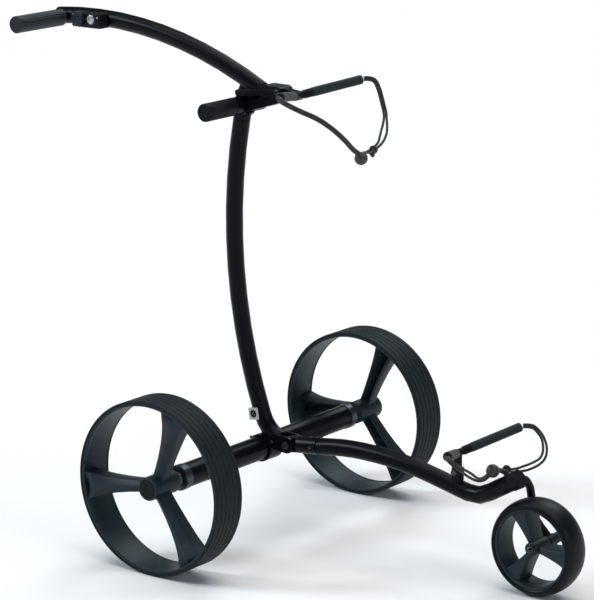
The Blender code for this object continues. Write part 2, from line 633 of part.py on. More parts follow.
def head_bracket():
    """Fixed head on the mast: barrel of the handle fold, seat for the handle tube and the upper bag rest."""
    x, z = HANDLE_FOLD.x, HANDLE_FOLD.z
    head = rod(
        "head_bracket", 0.0155, HANDLE_FOLD - 0.0315 * ACROSS, HANDLE_FOLD + 0.0385 * ACROSS, SATIN_BLACK
    )
    cx, cz = MAST_ARC_CENTRE
    top = pi - asin((MAST_TOP_Z - cz) / MAST_ARC_RADIUS)
    mast_top = Vector((cx + MAST_ARC_RADIUS * cos(top), 0, MAST_TOP_Z))
    up = Vector((sin(top), 0, -cos(top)))
    yoke = plate("yoke", [(x, z, 0.0150), (mast_top.x + 0.0036, mast_top.z + 0.0186, 0.0142)], 0.0149, None)
    spigot = rod("head_spigot", 0.0118, mast_top - 0.024 * up, mast_top + 0.010 * up, None)
    collar = rod("head_collar", 0.0150, mast_top + 3 * GAP * up, mast_top + 0.014 * up, None)
    strap = plate("strap", [(x + 0.0060, z - 0.0030, 0.0090), (-0.0600, 0.7660, 0.0078)], 0.0140, None)
    seat = plate("seat", [(-0.0830, 0.7792, 0.0094), (-0.0530, 0.7785, 0.0100)], 0.0158, None)
    neck = plate(
        "fork_neck", [(-0.0505, 0.7765, 0.0090), (UPPER_FORK_ROOT.x, UPPER_FORK_ROOT.z, 0.0078)], 0.0078, None
    )
    stud = rod("lever_stud", 0.0028, LEVER_PIVOT - 0.0230 * ACROSS, LEVER_PIVOT, None, steps=14)
    boolean(head, "UNION", yoke, spigot, collar, strap, seat, neck, stud)
    bag_fork(head, UPPER_FORK_ROOT, UPPER_SLEEVE_TIP, 0.0068, "upper")
    slot = plate(
        "tongue_slot", [(x, z, 0.0178), (x - 0.04, z, 0.0178), (-0.1109, 0.7834, 0.0095)], 0.0103, None
    )
    bolt_hole = rod(
        "head_bolt_hole", 0.0043, HANDLE_FOLD - 0.06 * ACROSS, HANDLE_FOLD + 0.06 * ACROSS, None, steps=16
    )
    boolean(head, "DIFFERENCE", slot, bolt_hole)
    bolt = [
        (0, 0.090), (0.0118, 0.090), (0.0130, 0.0885), (0.0130, 0.0480), (0.0155, 0.0470), (0.0155, 0.0390),
        (0.0040, 0.0390), (0.0040, -0.080), (0, -0.080),
    ]
    turned("clamp_bolt", bolt, SATIN_BLACK, None, HANDLE_FOLD, outboard(1))
    turner = pivot("knob_axis", HANDLE_FOLD)
    knob = [
        (0, 0.1040), (0.0120, 0.1040), (0.0125, 0.1070), (0.0148, 0.1070), (0.0155, 0.1060), (0.0155, 0.0330),
        (0.0148, 0.0320), (0.0043, 0.0320), (0.0043, 0.0810), (0, 0.0810),
    ]
    turned("clamp_knob", knob, RUBBER, turner, HANDLE_FOLD, outboard(-1))
    lever_axis = pivot("lever_axis", LEVER_PIVOT)
    lever = plate(
        "lock_lever", [(-0.1345, 0.7712, 0.0055), (LEVER_PIVOT.x, LEVER_PIVOT.z, 0.0052)], 0.0018, SATIN_BLACK,
        y=-0.0188, parent=lever_axis,
    )
    boolean(
        lever, "DIFFERENCE", rod("lever_hole", 0.0031, LEVER_PIVOT - 0.03 * ACROSS, LEVER_PIVOT, None, steps=14)
    )


def handle():
    """Handle tube with its tongue, the side grip and the control housing with dial and button."""
    fold = pivot("handle_fold", HANDLE_FOLD)
    body = smooth(
        meshed(tube("handle_tube", handle_line(), FRAME_TUBE_RADIUS, SATIN_BLACK, FRAME_TUBE_WALL, sides=5))
    )
    body.parent = fold
    body.matrix_parent_inverse = fold.matrix_world.inverted()
    x, z = HANDLE_FOLD.x, HANDLE_FOLD.z
    tongue = plate(
        "tongue", [(x, z, 0.0150), (-0.1109, 0.7834, 0.008), (-0.1253, 0.7904, 0.008)], 0.0100, None
    )
    line = handle_line()
    inward = (line[-2] - line[-1]).normalized()
    end_plug = rod("tube_end", 0.0140, line[-1] + 0.0005 * inward, line[-1] + 0.0045 * inward, None)
    boolean(body, "UNION", tongue, end_plug)
    bolt_hole = rod(
        "tongue_bore", 0.0043, HANDLE_FOLD - 0.03 * ACROSS, HANDLE_FOLD + 0.03 * ACROSS, None, steps=16
    )
    bar_hole = rod("bar_hole", 0.0098, GRIP_AXIS - 0.03 * ACROSS, GRIP_AXIS, None, steps=20)
    boolean(body, "DIFFERENCE", bolt_hole, bar_hole)
    rod("grip_bar", 0.0095, GRIP_AXIS - 0.128 * ACROSS, GRIP_AXIS - 0.004 * ACROSS, STEEL, fold, 20)
    grip = [
        (0, 0.1345), (0.0105, 0.1345), (0.0110, 0.1360), (0.0140, 0.1360), (0.0150, 0.1350), (0.0150, 0.0178),
        (0.0142, 0.0168), (0.0098, 0.0168), (0.0098, 0.1285), (0, 0.1285),
    ]
    turned("side_grip", grip, RUBBER, fold, GRIP_AXIS, outboard(-1))
    controls(fold)


def controls(fold):
    """Control housing on the right of the handle tube, its speed dial, push button and return spring."""
    face = CONTROL_FACE_Y
    housing = block(
        "control_housing", (0.066, 0.026, 0.0265), (-0.4640, face + 0.013, 0.8665), BLACK_PLASTIC, fold, edge=0.003
    )
    around = meshed(tube("tube_clearance", handle_line(), FRAME_TUBE_RADIUS + GAP, None, sides=5))
    well = rod(
        "button_well", 0.0084, BUTTON_CENTRE + (face - 0.01) * ACROSS, BUTTON_CENTRE + (face + 0.0105) * ACROSS,
        None, fold, 20,
    )
    spindle_hole = rod(
        "spindle_hole", 0.0033, DIAL_CENTRE + (face - 0.01) * ACROSS, DIAL_CENTRE + (face + 0.0090) * ACROSS,
        None, fold, 14,
    )
    boolean(housing, "DIFFERENCE", around, well, spindle_hole)
    dial_axis = pivot("dial_axis", DIAL_CENTRE + face * ACROSS)
    dial = [
        (0, 0.0072), (0.0110, 0.0072), (0.0128, 0.0058), (0.0128, 0.0003), (0.0030, 0.0003), (0.0030, -0.0080),
        (0, -0.0080),
    ]
    turned("speed_dial", dial, BLACK_PLASTIC, dial_axis, DIAL_CENTRE + face * ACROSS, outboard(-1), 24)
    press_axis = pivot("button_axis", BUTTON_CENTRE + face * ACROSS)
    button = [(0, 0.0034), (0.0066, 0.0032), (0.0080, 0.0022), (0.0080, -0.0035), (0, -0.0035)]
    turned("push_button", button, STEEL, press_axis, BUTTON_CENTRE + face * ACROSS, outboard(-1), 20)
    points = []
    for i in range(SPRING_TURNS * 10 + 1):
        angle = 2 * pi * i / 10
        depth = face + 0.0064 + SPRING_LENGTH * i / (SPRING_TURNS * 10)
        points.append(
            (BUTTON_CENTRE.x + SPRING_RADIUS * cos(angle), depth, BUTTON_CENTRE.z + SPRING_RADIUS * sin(angle))
        )
    spring = meshed(tube("button_spring", points, SPRING_WIRE_RADIUS, STEEL, sides=0))
    spring.parent = fold
    spring.matrix_parent_inverse = fold.matrix_world.inverted()


def power_socket():
    """Charging and battery socket on the right of the mast: black body with a pale face plate."""
    lean = -9
    at = Vector((-0.1024, 0, 0.2103))
    body = block(
        "socket_body", (0.0175, 0.0150, 0.0190), at + Vector((0, -0.0108, 0)), BLACK_PLASTIC, tilt=lean
    )
    around = meshed(tube("mast_clearance", mast_line(), FRAME_TUBE_RADIUS + GAP, None, sides=5))
    boolean(body, "DIFFERENCE", around)
    nose = rod("socket_nose", 0.0066, at - 0.0195 * ACROSS, at - 0.0170 * ACROSS, None, steps=20)
    boolean(body, "UNION", nose)
    face = block(
        "socket_plate", (0.0192, 0.0024, 0.0210), at + Vector((0, -0.0198, 0)), SOCKET_GREY, tilt=lean
    )
    boolean(
        face, "DIFFERENCE", rod("plate_hole", 0.0070, at - 0.030 * ACROSS, at - 0.010 * ACROSS, None, steps=20)
    )


def strand(name, route, spread, across, side, parent=None):
    """One strand of a doubled elastic: it runs beside the pair's route at a distance that varies along it."""
    line = smooth_route(route, 0.006)
    count = len(line) - 1
    points = []
    for i, point in enumerate(line):
        tangent = (line[min(i + 1, count)] - line[max(i - 1, 0)]).normalized()
        sideways = tangent.cross(across).normalized()
        at = i / count * (len(spread) - 1)
        low = min(int(at), len(spread) - 2)
        blend = at - low
        blend = blend * blend * (3 - 2 * blend)
        half = spread[low] * (1 - blend) + spread[low + 1] * blend
        points.append(point + side * half * sideways)
    made = smooth(meshed(tube(name, even(points, 0.0115), CORD_RADIUS, ELASTIC, sides=2)), 60)
    if parent:
        made.parent = parent
        made.matrix_parent_inverse = parent.matrix_world.inverted()


def bag_elastics():
    """The two doubled elastics of each bag rest, one ending in a ball and one in a knot with a loop."""
    near = STRAND_OFFSET
    across = Vector((0.61, -0.77, 0.2))
    fold = bpy.data.objects["front_fold"]
    upper_far = [
        (0.0313, 0.1167, 0.7938), (0.0365, 0.1250, 0.7935), (0.0449, 0.1300, 0.7890), (0.0527, 0.1310, 0.7744),
        (0.0640, 0.1260, 0.7530), (0.0750, 0.1180, 0.7357), (0.0898, 0.0950, 0.7150), (0.1000, 0.0700, 0.6995),
        (0.1010, 0.0525, 0.6915),
    ]
    upper_near = [
        (0.0313, -0.1167, 0.7938), (0.0370, -0.1245, 0.7930), (0.0480, -0.1300, 0.7890), (0.0753, -0.1240, 0.7780),
        (0.0950, -0.0980, 0.7620), (0.1070, -0.0750, 0.7440), (0.1125, -0.0480, 0.7220), (0.1110, -0.0220, 0.7020),
        (0.1107, -0.0080, 0.6940),
    ]
    lower_far = [
        (0.3686, 0.1116, 0.2420), (0.3760, 0.1205, 0.2412), (0.3850, 0.1250, 0.2370), (0.3985, 0.1260, 0.2228),
        (0.4085, 0.1180, 0.2057), (0.4120, 0.1030, 0.1935), (0.4060, 0.0830, 0.1865), (0.3960, 0.0640, 0.1830),
        (0.3865, 0.0480, 0.1825),
    ]
    lower_near = [
        (0.3686, -0.1116, 0.2420), (0.3750, -0.1190, 0.2415), (0.3850, -0.1220, 0.2370), (0.3935, -0.1090, 0.2250),
        (0.3950, -0.0840, 0.2090), (0.3930, -0.0600, 0.1955), (0.3905, -0.0380, 0.1905), (0.3890, -0.0220, 0.1925),
    ]
    doubled = {
        "upper_far": (upper_far, (near, near, near, 0.0050, near), None),
        "upper_near": (upper_near, (near, near, near, near, near), None),
        "lower_far": (lower_far, (near, near, 0.0035, 0.0042, near), fold),
        "lower_near": (lower_near, (near, near, 0.0034, near, near), fold),
    }
    for label, (route, spread, parent) in doubled.items():
        for side, letter in ((1, "a"), (-1, "b")):
            strand(f"{label}_strand_{letter}", route, spread, across, side, parent)
    for label, ball_at, knot_at, parent in (
        ("upper", Vector((0.1107, 0.0010, 0.6835)), Vector((0.1010, 0.0450, 0.6875)), None),
        ("lower", Vector((0.3888, -0.0085, 0.1968)), Vector((0.3815, 0.0400, 0.1835)), fold),
    ):
        for piece, centre, radius in (("ball", ball_at, BALL_RADIUS), ("knot", knot_at, KNOT_RADIUS)):
            mesh = bpy.data.meshes.new(f"{label}_{piece}")
            shape = bmesh.new()
            bmesh.ops.create_uvsphere(shape, u_segments=14, v_segments=9, radius=radius)
            shape.to_mesh(mesh)
            shape.free()
            obj = smooth(bpy.data.objects.new(mesh.name, mesh), 60)
            obj.location = centre
            place(obj, BLACK_PLASTIC if piece == "ball" else ELASTIC, parent)


axle_and_drive()
for wheel_side in (-1, 1):
    rear_wheel(wheel_side)
mast()
power_socket()
front_section()
head_bracket()
handle()
bag_elastics()
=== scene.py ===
from math import cos, pi, radians, sin

import bmesh
import bpy
from mathutils import Matrix, Vector


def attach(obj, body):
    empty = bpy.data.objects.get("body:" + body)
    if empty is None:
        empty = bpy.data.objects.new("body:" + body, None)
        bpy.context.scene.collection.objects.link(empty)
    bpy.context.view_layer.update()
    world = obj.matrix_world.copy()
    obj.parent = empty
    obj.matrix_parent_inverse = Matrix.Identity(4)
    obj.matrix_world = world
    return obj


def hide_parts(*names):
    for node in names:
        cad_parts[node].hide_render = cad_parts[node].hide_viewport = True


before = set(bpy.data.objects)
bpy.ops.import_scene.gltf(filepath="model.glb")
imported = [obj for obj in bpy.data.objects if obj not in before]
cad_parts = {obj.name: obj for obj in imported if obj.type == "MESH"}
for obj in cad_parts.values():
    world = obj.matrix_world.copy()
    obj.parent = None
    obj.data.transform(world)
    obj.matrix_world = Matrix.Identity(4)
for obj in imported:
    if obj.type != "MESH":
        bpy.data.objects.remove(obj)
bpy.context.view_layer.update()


# The studio. A long lens looks slightly down at the trolley from its right front quarter.
# Wide soft lamps stand high on both sides and behind, over a pale floor that curves up to a low wall.
camera = bpy.data.objects.new("camera", bpy.data.cameras.new("camera"))
camera.data.sensor_width = 36
camera.data.lens = 173.2
camera.data.clip_end = 200
camera.location = (2.894, -3.793, 1.605)
aim = Vector((0.148, -0.222, 0.491)) - camera.location
camera.rotation_euler = aim.to_track_quat("-Z", "Y").to_euler()
bpy.context.scene.collection.objects.link(camera)
bpy.context.scene.camera = camera


def lamp(name, towards, spread, strength, tint):
    """A very large distant softbox: light that travels one way, spread over an angle in degrees."""
    light = bpy.data.lights.new(name, "SUN")
    light.angle = radians(spread)
    light.energy = strength
    light.color = tint
    box = bpy.data.objects.new(name, light)
    box.rotation_euler = Vector(towards).to_track_quat("-Z", "Y").to_euler()
    bpy.context.scene.collection.objects.link(box)


lamp("key_left", (1.0, 0.75, -0.9), 17, 1.5, (0.78, 0.90, 1.0))
lamp("fill_right", (-1.2, 0.15, -0.6), 24, 0.5, (0.76, 0.89, 1.0))
lamp("back_high", (0.25, -1.2, -1.2), 28, 0.8, (0.84, 0.93, 1.0))
lamp("overhead", (0, 0, -1), 60, 2.0, (1.0, 0.95, 0.90))
surroundings = bpy.data.worlds.new("surroundings")
surroundings.use_nodes = True
surroundings.node_tree.nodes["Background"].inputs["Color"].default_value = (0.72, 0.87, 1.0, 1)
surroundings.node_tree.nodes["Background"].inputs["Strength"].default_value = 0.10
bpy.context.scene.world = surroundings
bpy.context.scene.view_settings.view_transform = "Standard"


class Value:
    """A socket of a material's nodes. Arithmetic on it adds Math nodes, and node() adds any other node."""

    def __init__(self, tree, socket=None):
        self.tree = tree
        self.socket = socket

    def node(self, kind, inputs=None, settings=None, output=0):
        made = self.tree.nodes.new("ShaderNode" + kind)
        for name, setting in (settings or {}).items():
            if name == "stops":
                for at, _ in setting[1:-1]:
                    made.color_ramp.elements.new(at)
                for stop, (at, colour) in zip(made.color_ramp.elements, setting):
                    stop.position = at
                    stop.color = (*colour, 1)
            else:
                setattr(made, name, setting)
        for name, given in (inputs or {}).items():
            socket = made.inputs[name]
            if isinstance(given, Value):
                self.tree.links.new(given.socket, socket)
            elif socket.type == "RGBA":
                socket.default_value = (*given, 1)
            else:
                socket.default_value = given
        return Value(self.tree, made.outputs[output])

    def maths(self, operation, first, second):
        return self.node("Math", {0: first, 1: second}, {"operation": operation})

    def __add__(self, other):
        return self.maths("ADD", self, other)

    def __radd__(self, other):
        return self.maths("ADD", other, self)

    def __sub__(self, other):
        return self.maths("SUBTRACT", self, other)

    def __rsub__(self, other):
        return self.maths("SUBTRACT", other, self)

    def __mul__(self, other):
        return self.maths("MULTIPLY", self, other)

    def __rmul__(self, other):
        return self.maths("MULTIPLY", other, self)

    def __pow__(self, other):
        return self.maths("POWER", self, other)


def finish(name, fixed, varied):
    """A material. fixed holds the shader's uniform values; varied makes those that vary over it."""
    material = bpy.data.materials.new(name)
    material.use_nodes = True
    tree = material.node_tree
    shader = tree.nodes["Principled BSDF"]
    for socket, value in fixed.items():
        shader.inputs[socket].default_value = value
    place = Value(tree).node("TexCoord", output="Object")
    for socket, value in varied(place).items():
        tree.links.new(value.socket, shader.inputs[socket])
    return material


def grain(place, scale, detail=3.0):
    """Noise with about `scale` blotches to the metre."""
    return place.node("TexNoise", {"Vector": place, "Scale": scale, "Detail": detail}, output="Fac")


def shades(mask, dark, light):
    return mask.node("Mix", {0: mask, 6: dark, 7: light}, {"data_type": "RGBA"}, output=2)


def relief(height, depth, edge=0.0):
    """A bump of the given depth in metres. With an edge radius, sharp corners catch light as if rounded."""
    sockets = {"Height": height, "Distance": depth, "Strength": 1.0}
    if edge:
        sockets["Normal"] = height.node("Bevel", {"Radius": edge}, {"samples": 4})
    return height.node("Bump", sockets)


def floor_paint(place):
    patches = grain(place, 1.5)
    return {
        "Base Color": shades(patches, (0.86, 0.86, 0.865), (0.90, 0.90, 0.90)),
        "Roughness": 0.72 + 0.1 * patches,
    }


# Radius and height, from the middle of the floor out to the top of its wall.
cove = [(0.5, 0), (38, 0), (41, 0.6), (43, 2.0), (44, 4.5), (44.3, 9.0)]
cove_sides = 48
floor_points = []
for radius, height in cove:
    for k in range(cove_sides):
        angle = 2 * pi * k / cove_sides
        floor_points.append((radius * cos(angle), radius * sin(angle), height))
floor_faces = [tuple(range(cove_sides))]
for ring in range(len(cove) - 1):
    near, far = ring * cove_sides, (ring + 1) * cove_sides
    for k in range(cove_sides):
        after = (k + 1) % cove_sides
        floor_faces.append((near + k, far + k, far + after, near + after))
floor_mesh = bpy.data.meshes.new("floor")
floor_mesh.from_pydata(floor_points, [], floor_faces)
floor_mesh.shade_smooth()
floor = bpy.data.objects.new("floor", floor_mesh)
hair_below = -0.0005
floor.location.z = hair_below
floor_mesh.materials.append(finish("studio_floor", {"Specular IOR Level": 0.2}, floor_paint))
bpy.context.scene.collection.objects.link(floor)


# The bag elastics. Each bag rest has a doubled rubber cord in a braided sleeve on each arm.
# One pair ends in a dimpled rubber ball and the other in a knot, and the knot's loop hooks on the ball.
CORD_RADIUS = 0.00225
STRAND_OFFSET = CORD_RADIUS - 0.0001
BRAID_PITCH = 0.011
BALL_RADIUS = 0.0115
BALL_PITS = 34
KNOT_SIZE = 0.0108


def smooth_route(points, spacing):
    """Evenly spaced points on a smooth curve through a route's own points."""
    route = [Vector(point) for point in points]
    route = [2 * route[0] - route[1], *route, 2 * route[-1] - route[-2]]
    fine = []
    for a, b, c, d in zip(route, route[1:], route[2:], route[3:]):
        for i in range(24):
            t = i / 24
            fine.append(
                (
                    2 * b + (c - a) * t + (
                        2 * a - 5 * b + 4 * c - d
                    ) * t**2 + (3 * b - a - 3 * c + d) * t**3
                ) / 2
            )
    fine.append(route[-2])
    return even(fine, spacing)


def even(fine, spacing):
    """Resamples a dense run of points at about the given spacing, keeping both ends."""
    lengths = [0.0]
    for a, b in zip(fine, fine[1:]):
        lengths.append(lengths[-1] + (b - a).length)
    count = max(2, round(lengths[-1] / spacing))
    found, at = [], 0
    for i in range(count + 1):
        wanted = lengths[-1] * i / count
        while at < len(fine) - 2 and lengths[at + 1] < wanted:
            at += 1
        span = lengths[at + 1] - lengths[at]
        found.append(fine[at].lerp(fine[at + 1], (wanted - lengths[at]) / span if span else 0))
    return found


def strand_line(route, spread, side):
    """The line of one strand, which runs beside the pair's route at a distance that varies along it."""
    line = smooth_route(route, 0.006)
    across = Vector((0.61, -0.77, 0.2))
    count = len(line) - 1
    points = []
    for i, point in enumerate(line):
        tangent = (line[min(i + 1, count)] - line[max(i - 1, 0)]).normalized()
        at = i / count * (len(spread) - 1)
        low = min(int(at), len(spread) - 2)
        blend = (at - low) ** 2 * (3 - 2 * (at - low))
        half = spread[low] * (1 - blend) + spread[low + 1] * blend
        points.append(point + side * half * tangent.cross(across).normalized())
    return points


def shaped(name, points, faces, crease=35):
    """A mesh object from points and faces, smooth apart from edges sharper than the crease angle."""
    mesh = bpy.data.meshes.new(name)
    mesh.from_pydata([tuple(point) for point in points], [], faces)
    shape = bmesh.new()
    shape.from_mesh(mesh)
    bmesh.ops.recalc_face_normals(shape, faces=shape.faces)
    shape.to_mesh(mesh)
    shape.free()
    mesh.shade_smooth()
    mesh.set_sharp_from_angle(angle=radians(crease))
    piece = bpy.data.objects.new(name, mesh)
    bpy.context.scene.collection.objects.link(piece)
    return piece


def swept(name, line, radius, sides=16, crease=60):
    """A closed tube along a line. radius takes the distance along the line and the angle round it."""
    points, faces = [], []
    count = len(line) - 1
    side_way, travelled = None, 0.0
    for i, at in enumerate(line):
        tangent = (line[min(i + 1, count)] - line[max(i - 1, 0)]).normalized()
        if side_way is None:
            side_way = tangent.orthogonal().normalized()
        else:
            side_way = (side_way - side_way.dot(tangent) * tangent).normalized()
            travelled += (at - line[i - 1]).length
        third = tangent.cross(side_way)
        for k in range(sides):
            angle = 2 * pi * k / sides
            points.append(at + radius(travelled, angle) * (cos(angle) * side_way + sin(angle) * third))
        if i:
            base = (i - 1) * sides
            for k in range(sides):
                after = (k + 1) % sides
                faces.append((base + k, base + after, base + sides + after, base + sides + k))
    faces.append(tuple(range(sides))[::-1])
    faces.append(tuple(range(count * sides, (count + 1) * sides)))
    return shaped(name, points, faces, crease)


def braid(travelled, angle):
    """Radius of the braided sleeve: two crossing helices of yarn stand up from it."""
    pitch = 2 * pi * travelled / BRAID_PITCH
    weave = abs(sin(2 * angle + 2 * pitch)) * abs(sin(2 * angle - 2 * pitch))
    twist = cos(angle - pitch * 0.5)
    return CORD_RADIUS * (0.93 + 0.09 * weave + 0.03 * twist)


def elastic_cloth(place):
    yarn = place.node("TexNoise", {"Vector": place, "Scale": 1500.0, "Detail": 4.0}, output="Fac")
    fuzz = grain(place, 320.0, 2.0)
    return {
        "Base Color": shades(yarn * fuzz, (0.010, 0.011, 0.010), (0.085, 0.088, 0.082)),
        "Roughness": 0.68 + 0.25 * fuzz,
        "Normal": relief(yarn, 0.0003),
    }


def ball_rubber(place):
    bloom = grain(place, 240.0)
    return {
        "Base Color": shades(bloom, (0.010, 0.011, 0.012), (0.030, 0.032, 0.034)),
        "Roughness": 0.34 + 0.25 * bloom,
        "Normal": relief(grain(place, 1400.0), 0.00008),
    }


elastic = finish("braided_elastic", {"Specular IOR Level": 0.2, "Sheen Weight": 0.15}, elastic_cloth)
ball_finish = finish("ball_rubber", {"Specular IOR Level": 0.5}, ball_rubber)


def dress(piece, material, body, slot, *stands_for):
    """Gives a piece its finish and its body, and hides the CAD nodes that it stands for."""
    piece.data.materials.append(material)
    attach(piece, body)
    if stands_for:
        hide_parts(*stands_for)
    return piece


def dimpled_ball(name, centre, radius):
    """A rubber ball with shallow dimples in even rows and a moulding seam round its middle."""
    golden_turn = pi * (3 - 5**0.5)
    pits = []
    for i in range(BALL_PITS):
        height = 1 - 2 * (i + 0.5) / BALL_PITS
        out = (1 - height * height) ** 0.5
        pits.append(Vector((out * cos(i * golden_turn), out * sin(i * golden_turn), height)))
    shape = bmesh.new()
    bmesh.ops.create_icosphere(shape, subdivisions=5, radius=1)
    for vert in shape.verts:
        way = vert.co.normalized()
        nearest = min((way - pit).length for pit in pits)
        pit_depth = 0.075 * max(0.0, 1 - (nearest / 0.25) ** 2)
        seam = 0.020 * max(0.0, 1 - abs(way.z) / 0.04)
        vert.co = centre + radius * (0.985 - pit_depth + seam) * way
    mesh = bpy.data.meshes.new(name)
    shape.to_mesh(mesh)
    shape.free()
    mesh.shade_smooth()
    piece = bpy.data.objects.new(name, mesh)
    bpy.context.scene.collection.objects.link(piece)
    return piece


def thin_braid(travelled, angle):
    return 0.62 * braid(travelled, angle)


def tied_knot(name, centre, size, lean):
    """An overhand knot of cord, pulled tight."""
    turn_by = Matrix.Rotation(radians(lean), 3, "X") @ Matrix.Rotation(radians(35), 3, "Z")
    line = []
    for i in range(97):
        t = 2 * pi * i / 96 * 0.985
        loop = Vector((sin(t) + 2 * sin(2 * t), cos(t) - 2 * cos(2 * t), -1.25 * sin(3 * t))) / 3
        line.append(centre + turn_by @ (loop * size * 0.72))
    return swept(name, line, lambda travelled, angle: 1.3 * braid(travelled, angle), 14)


upper_far = [
    (0.0313, 0.1167, 0.7938), (0.0365, 0.1250, 0.7935), (0.0449, 0.1300, 0.7890),
    (0.0527, 0.1310, 0.7744), (0.0640, 0.1260, 0.7530), (0.0750, 0.1180, 0.7357),
    (0.0898, 0.0950, 0.7150), (0.1000, 0.0700, 0.6995), (0.1010, 0.0525, 0.6915),
]
upper_near = [
    (0.0313, -0.1167, 0.7938), (0.0370, -0.1245, 0.7930), (0.0480, -0.1300, 0.7890),
    (0.0753, -0.1240, 0.7780), (0.0950, -0.0980, 0.7620), (0.1070, -0.0750, 0.7440),
    (0.1125, -0.0480, 0.7220), (0.1110, -0.0220, 0.7020), (0.1107, -0.0080, 0.6940),
]
lower_far = [
    (0.3686, 0.1116, 0.2420), (0.3760, 0.1205, 0.2412), (0.3850, 0.1250, 0.2370),
    (0.3985, 0.1260, 0.2228), (0.4085, 0.1180, 0.2057), (0.4120, 0.1030, 0.1935),
    (0.4060, 0.0830, 0.1865), (0.3960, 0.0640, 0.1830), (0.3865, 0.0480, 0.1825),
]
lower_near = [
    (0.3686, -0.1116, 0.2420), (0.3750, -0.1190, 0.2415), (0.3850, -0.1220, 0.2370),
    (0.3935, -0.1090, 0.2250), (0.3950, -0.0840, 0.2090), (0.3930, -0.0600, 0.1955),
    (0.3905, -0.0380, 0.1905), (0.3890, -0.0220, 0.1925),
]
doubled = {
    "upper_far": (upper_far, (STRAND_OFFSET, STRAND_OFFSET, STRAND_OFFSET, 0.0050, STRAND_OFFSET)),
    "upper_near": (upper_near, (STRAND_OFFSET,) * 5),
    "lower_far": (lower_far, (STRAND_OFFSET, STRAND_OFFSET, 0.0035, 0.0042, STRAND_OFFSET)),
    "lower_near": (lower_near, (STRAND_OFFSET, STRAND_OFFSET, 0.0034, STRAND_OFFSET, STRAND_OFFSET)),
}
for rest, body, ball_at, knot_at in (
    ("upper", "frame", Vector((0.1107, 0.0010, 0.6835)), Vector((0.1010, 0.0450, 0.6875))),
    ("lower", "front_section", Vector((0.3888, -0.0085, 0.1968)), Vector((0.3815, 0.0400, 0.1835))),
):
    ball = dimpled_ball(f"{rest}_dimpled_ball", ball_at, BALL_RADIUS)
    dress(ball, ball_finish, body, "ball_rubber", f"{rest}_ball")
    knot = tied_knot(f"{rest}_tied_knot", knot_at, KNOT_SIZE, 60)
    dress(knot, elastic, body, "elastic", f"{rest}_knot")
    neck = ball_at + Vector((-0.0008, -0.0035, 0.0112))
    reach = neck - knot_at
    sideways = reach.cross(Vector((0, 0, 1))).normalized()
    hook_line = []
    for i in range(65):
        angle = 2 * pi * i / 64 * 0.99
        out = 0.5 - 0.5 * cos(angle)
        sag = Vector((0, 0, 0.003 * out))
        hook_line.append(knot_at + (0.10 + 1.02 * out) * reach + 0.0052 * sin(angle) * sideways - sag)
    hook = swept(f"{rest}_knot_loop", even(hook_line, 0.0008), thin_braid, 12)
    dress(hook, elastic, body, "elastic")
    for pair, far_end, fitting in (("near", "fitting", [ball]), ("far", "knot", [knot, hook])):
        route, spread = doubled[f"{rest}_{pair}"]
        for side, letter in ((1, "a"), (-1, "b")):
            line = even(strand_line(route, spread, side), 0.0007)
            cord = swept(f"{rest}_{pair}_elastic_{letter}", line, braid)
            dress(cord, elastic, body, "elastic", f"{rest}_{pair}_strand_{letter}")
            length = sum((b - a).length for a, b in zip(line, line[1:]))


# The frame tubes: the mast, the cross tube over the rear axle, the front tube, the handle tube and their
# welded and cast joints. They are drawn aluminium and steel, powder coated in a satin black.
def weld_and_smooth():
    """Geometry nodes that join a CAD solid's facets and shade it smooth up to its real corners."""
    sharpest_bend = radians(33)
    group = bpy.data.node_groups.new("weld_and_smooth", "GeometryNodeTree")
    group.interface.new_socket("Geometry", in_out="INPUT", socket_type="NodeSocketGeometry")
    group.interface.new_socket("Geometry", in_out="OUTPUT", socket_type="NodeSocketGeometry")
    given = group.nodes.new("NodeGroupInput")
    result = group.nodes.new("NodeGroupOutput")
    merged = group.nodes.new("GeometryNodeMergeByDistance")
    merged.inputs["Distance"].default_value = 0.00001
    smoothed = group.nodes.new("GeometryNodeSetShadeSmooth")
    creased = group.nodes.new("GeometryNodeSetShadeSmooth")
    creased.domain = "EDGE"
    creased.inputs["Shade Smooth"].default_value = False
    angle = group.nodes.new("GeometryNodeInputMeshEdgeAngle")
    corner = group.nodes.new("FunctionNodeCompare")
    corner.operation = "GREATER_THAN"
    corner.inputs[1].default_value = sharpest_bend
    group.links.new(angle.outputs["Unsigned Angle"], corner.inputs[0])
    group.links.new(given.outputs[0], merged.inputs["Geometry"])
    group.links.new(merged.outputs["Geometry"], smoothed.inputs["Geometry"])
    group.links.new(smoothed.outputs["Geometry"], creased.inputs["Geometry"])
    group.links.new(corner.outputs[0], creased.inputs["Selection"])
    group.links.new(creased.outputs["Geometry"], result.inputs[0])
    return group


facet_smoother = weld_and_smooth()


def keep(material, *nodes):
    """CAD nodes that are shown as they are, with their facets smoothed and a better finish."""
    for node in nodes:
        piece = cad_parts[node]
        piece.data.materials.clear()
        piece.data.materials.append(material)
        weld = piece.modifiers.new("weld_and_smooth", "NODES")
        weld.node_group = facet_smoother
        even_normals = piece.modifiers.new("even_normals", "WEIGHTED_NORMAL")
        even_normals.keep_sharp = True


def powder_coat(place):
    cloud = grain(place, 16.0)
    peel = grain(place, 1100.0, 2.0)
    return {
        "Base Color": shades(cloud, (0.0010, 0.0018, 0.0030), (0.0028, 0.0042, 0.0062)),
        "Roughness": 0.26 + 0.12 * cloud,
        "Normal": relief(peel, 0.000012, 0.0007),
    }


satin_black = finish("satin_powder_coat", {"Specular IOR Level": 0.10}, powder_coat)
keep(
    satin_black, "axle_tube", "mast", "front_coupler", "front_tube", "handle_tube", "head_bracket",
    "clamp_bolt", "lock_lever",
)


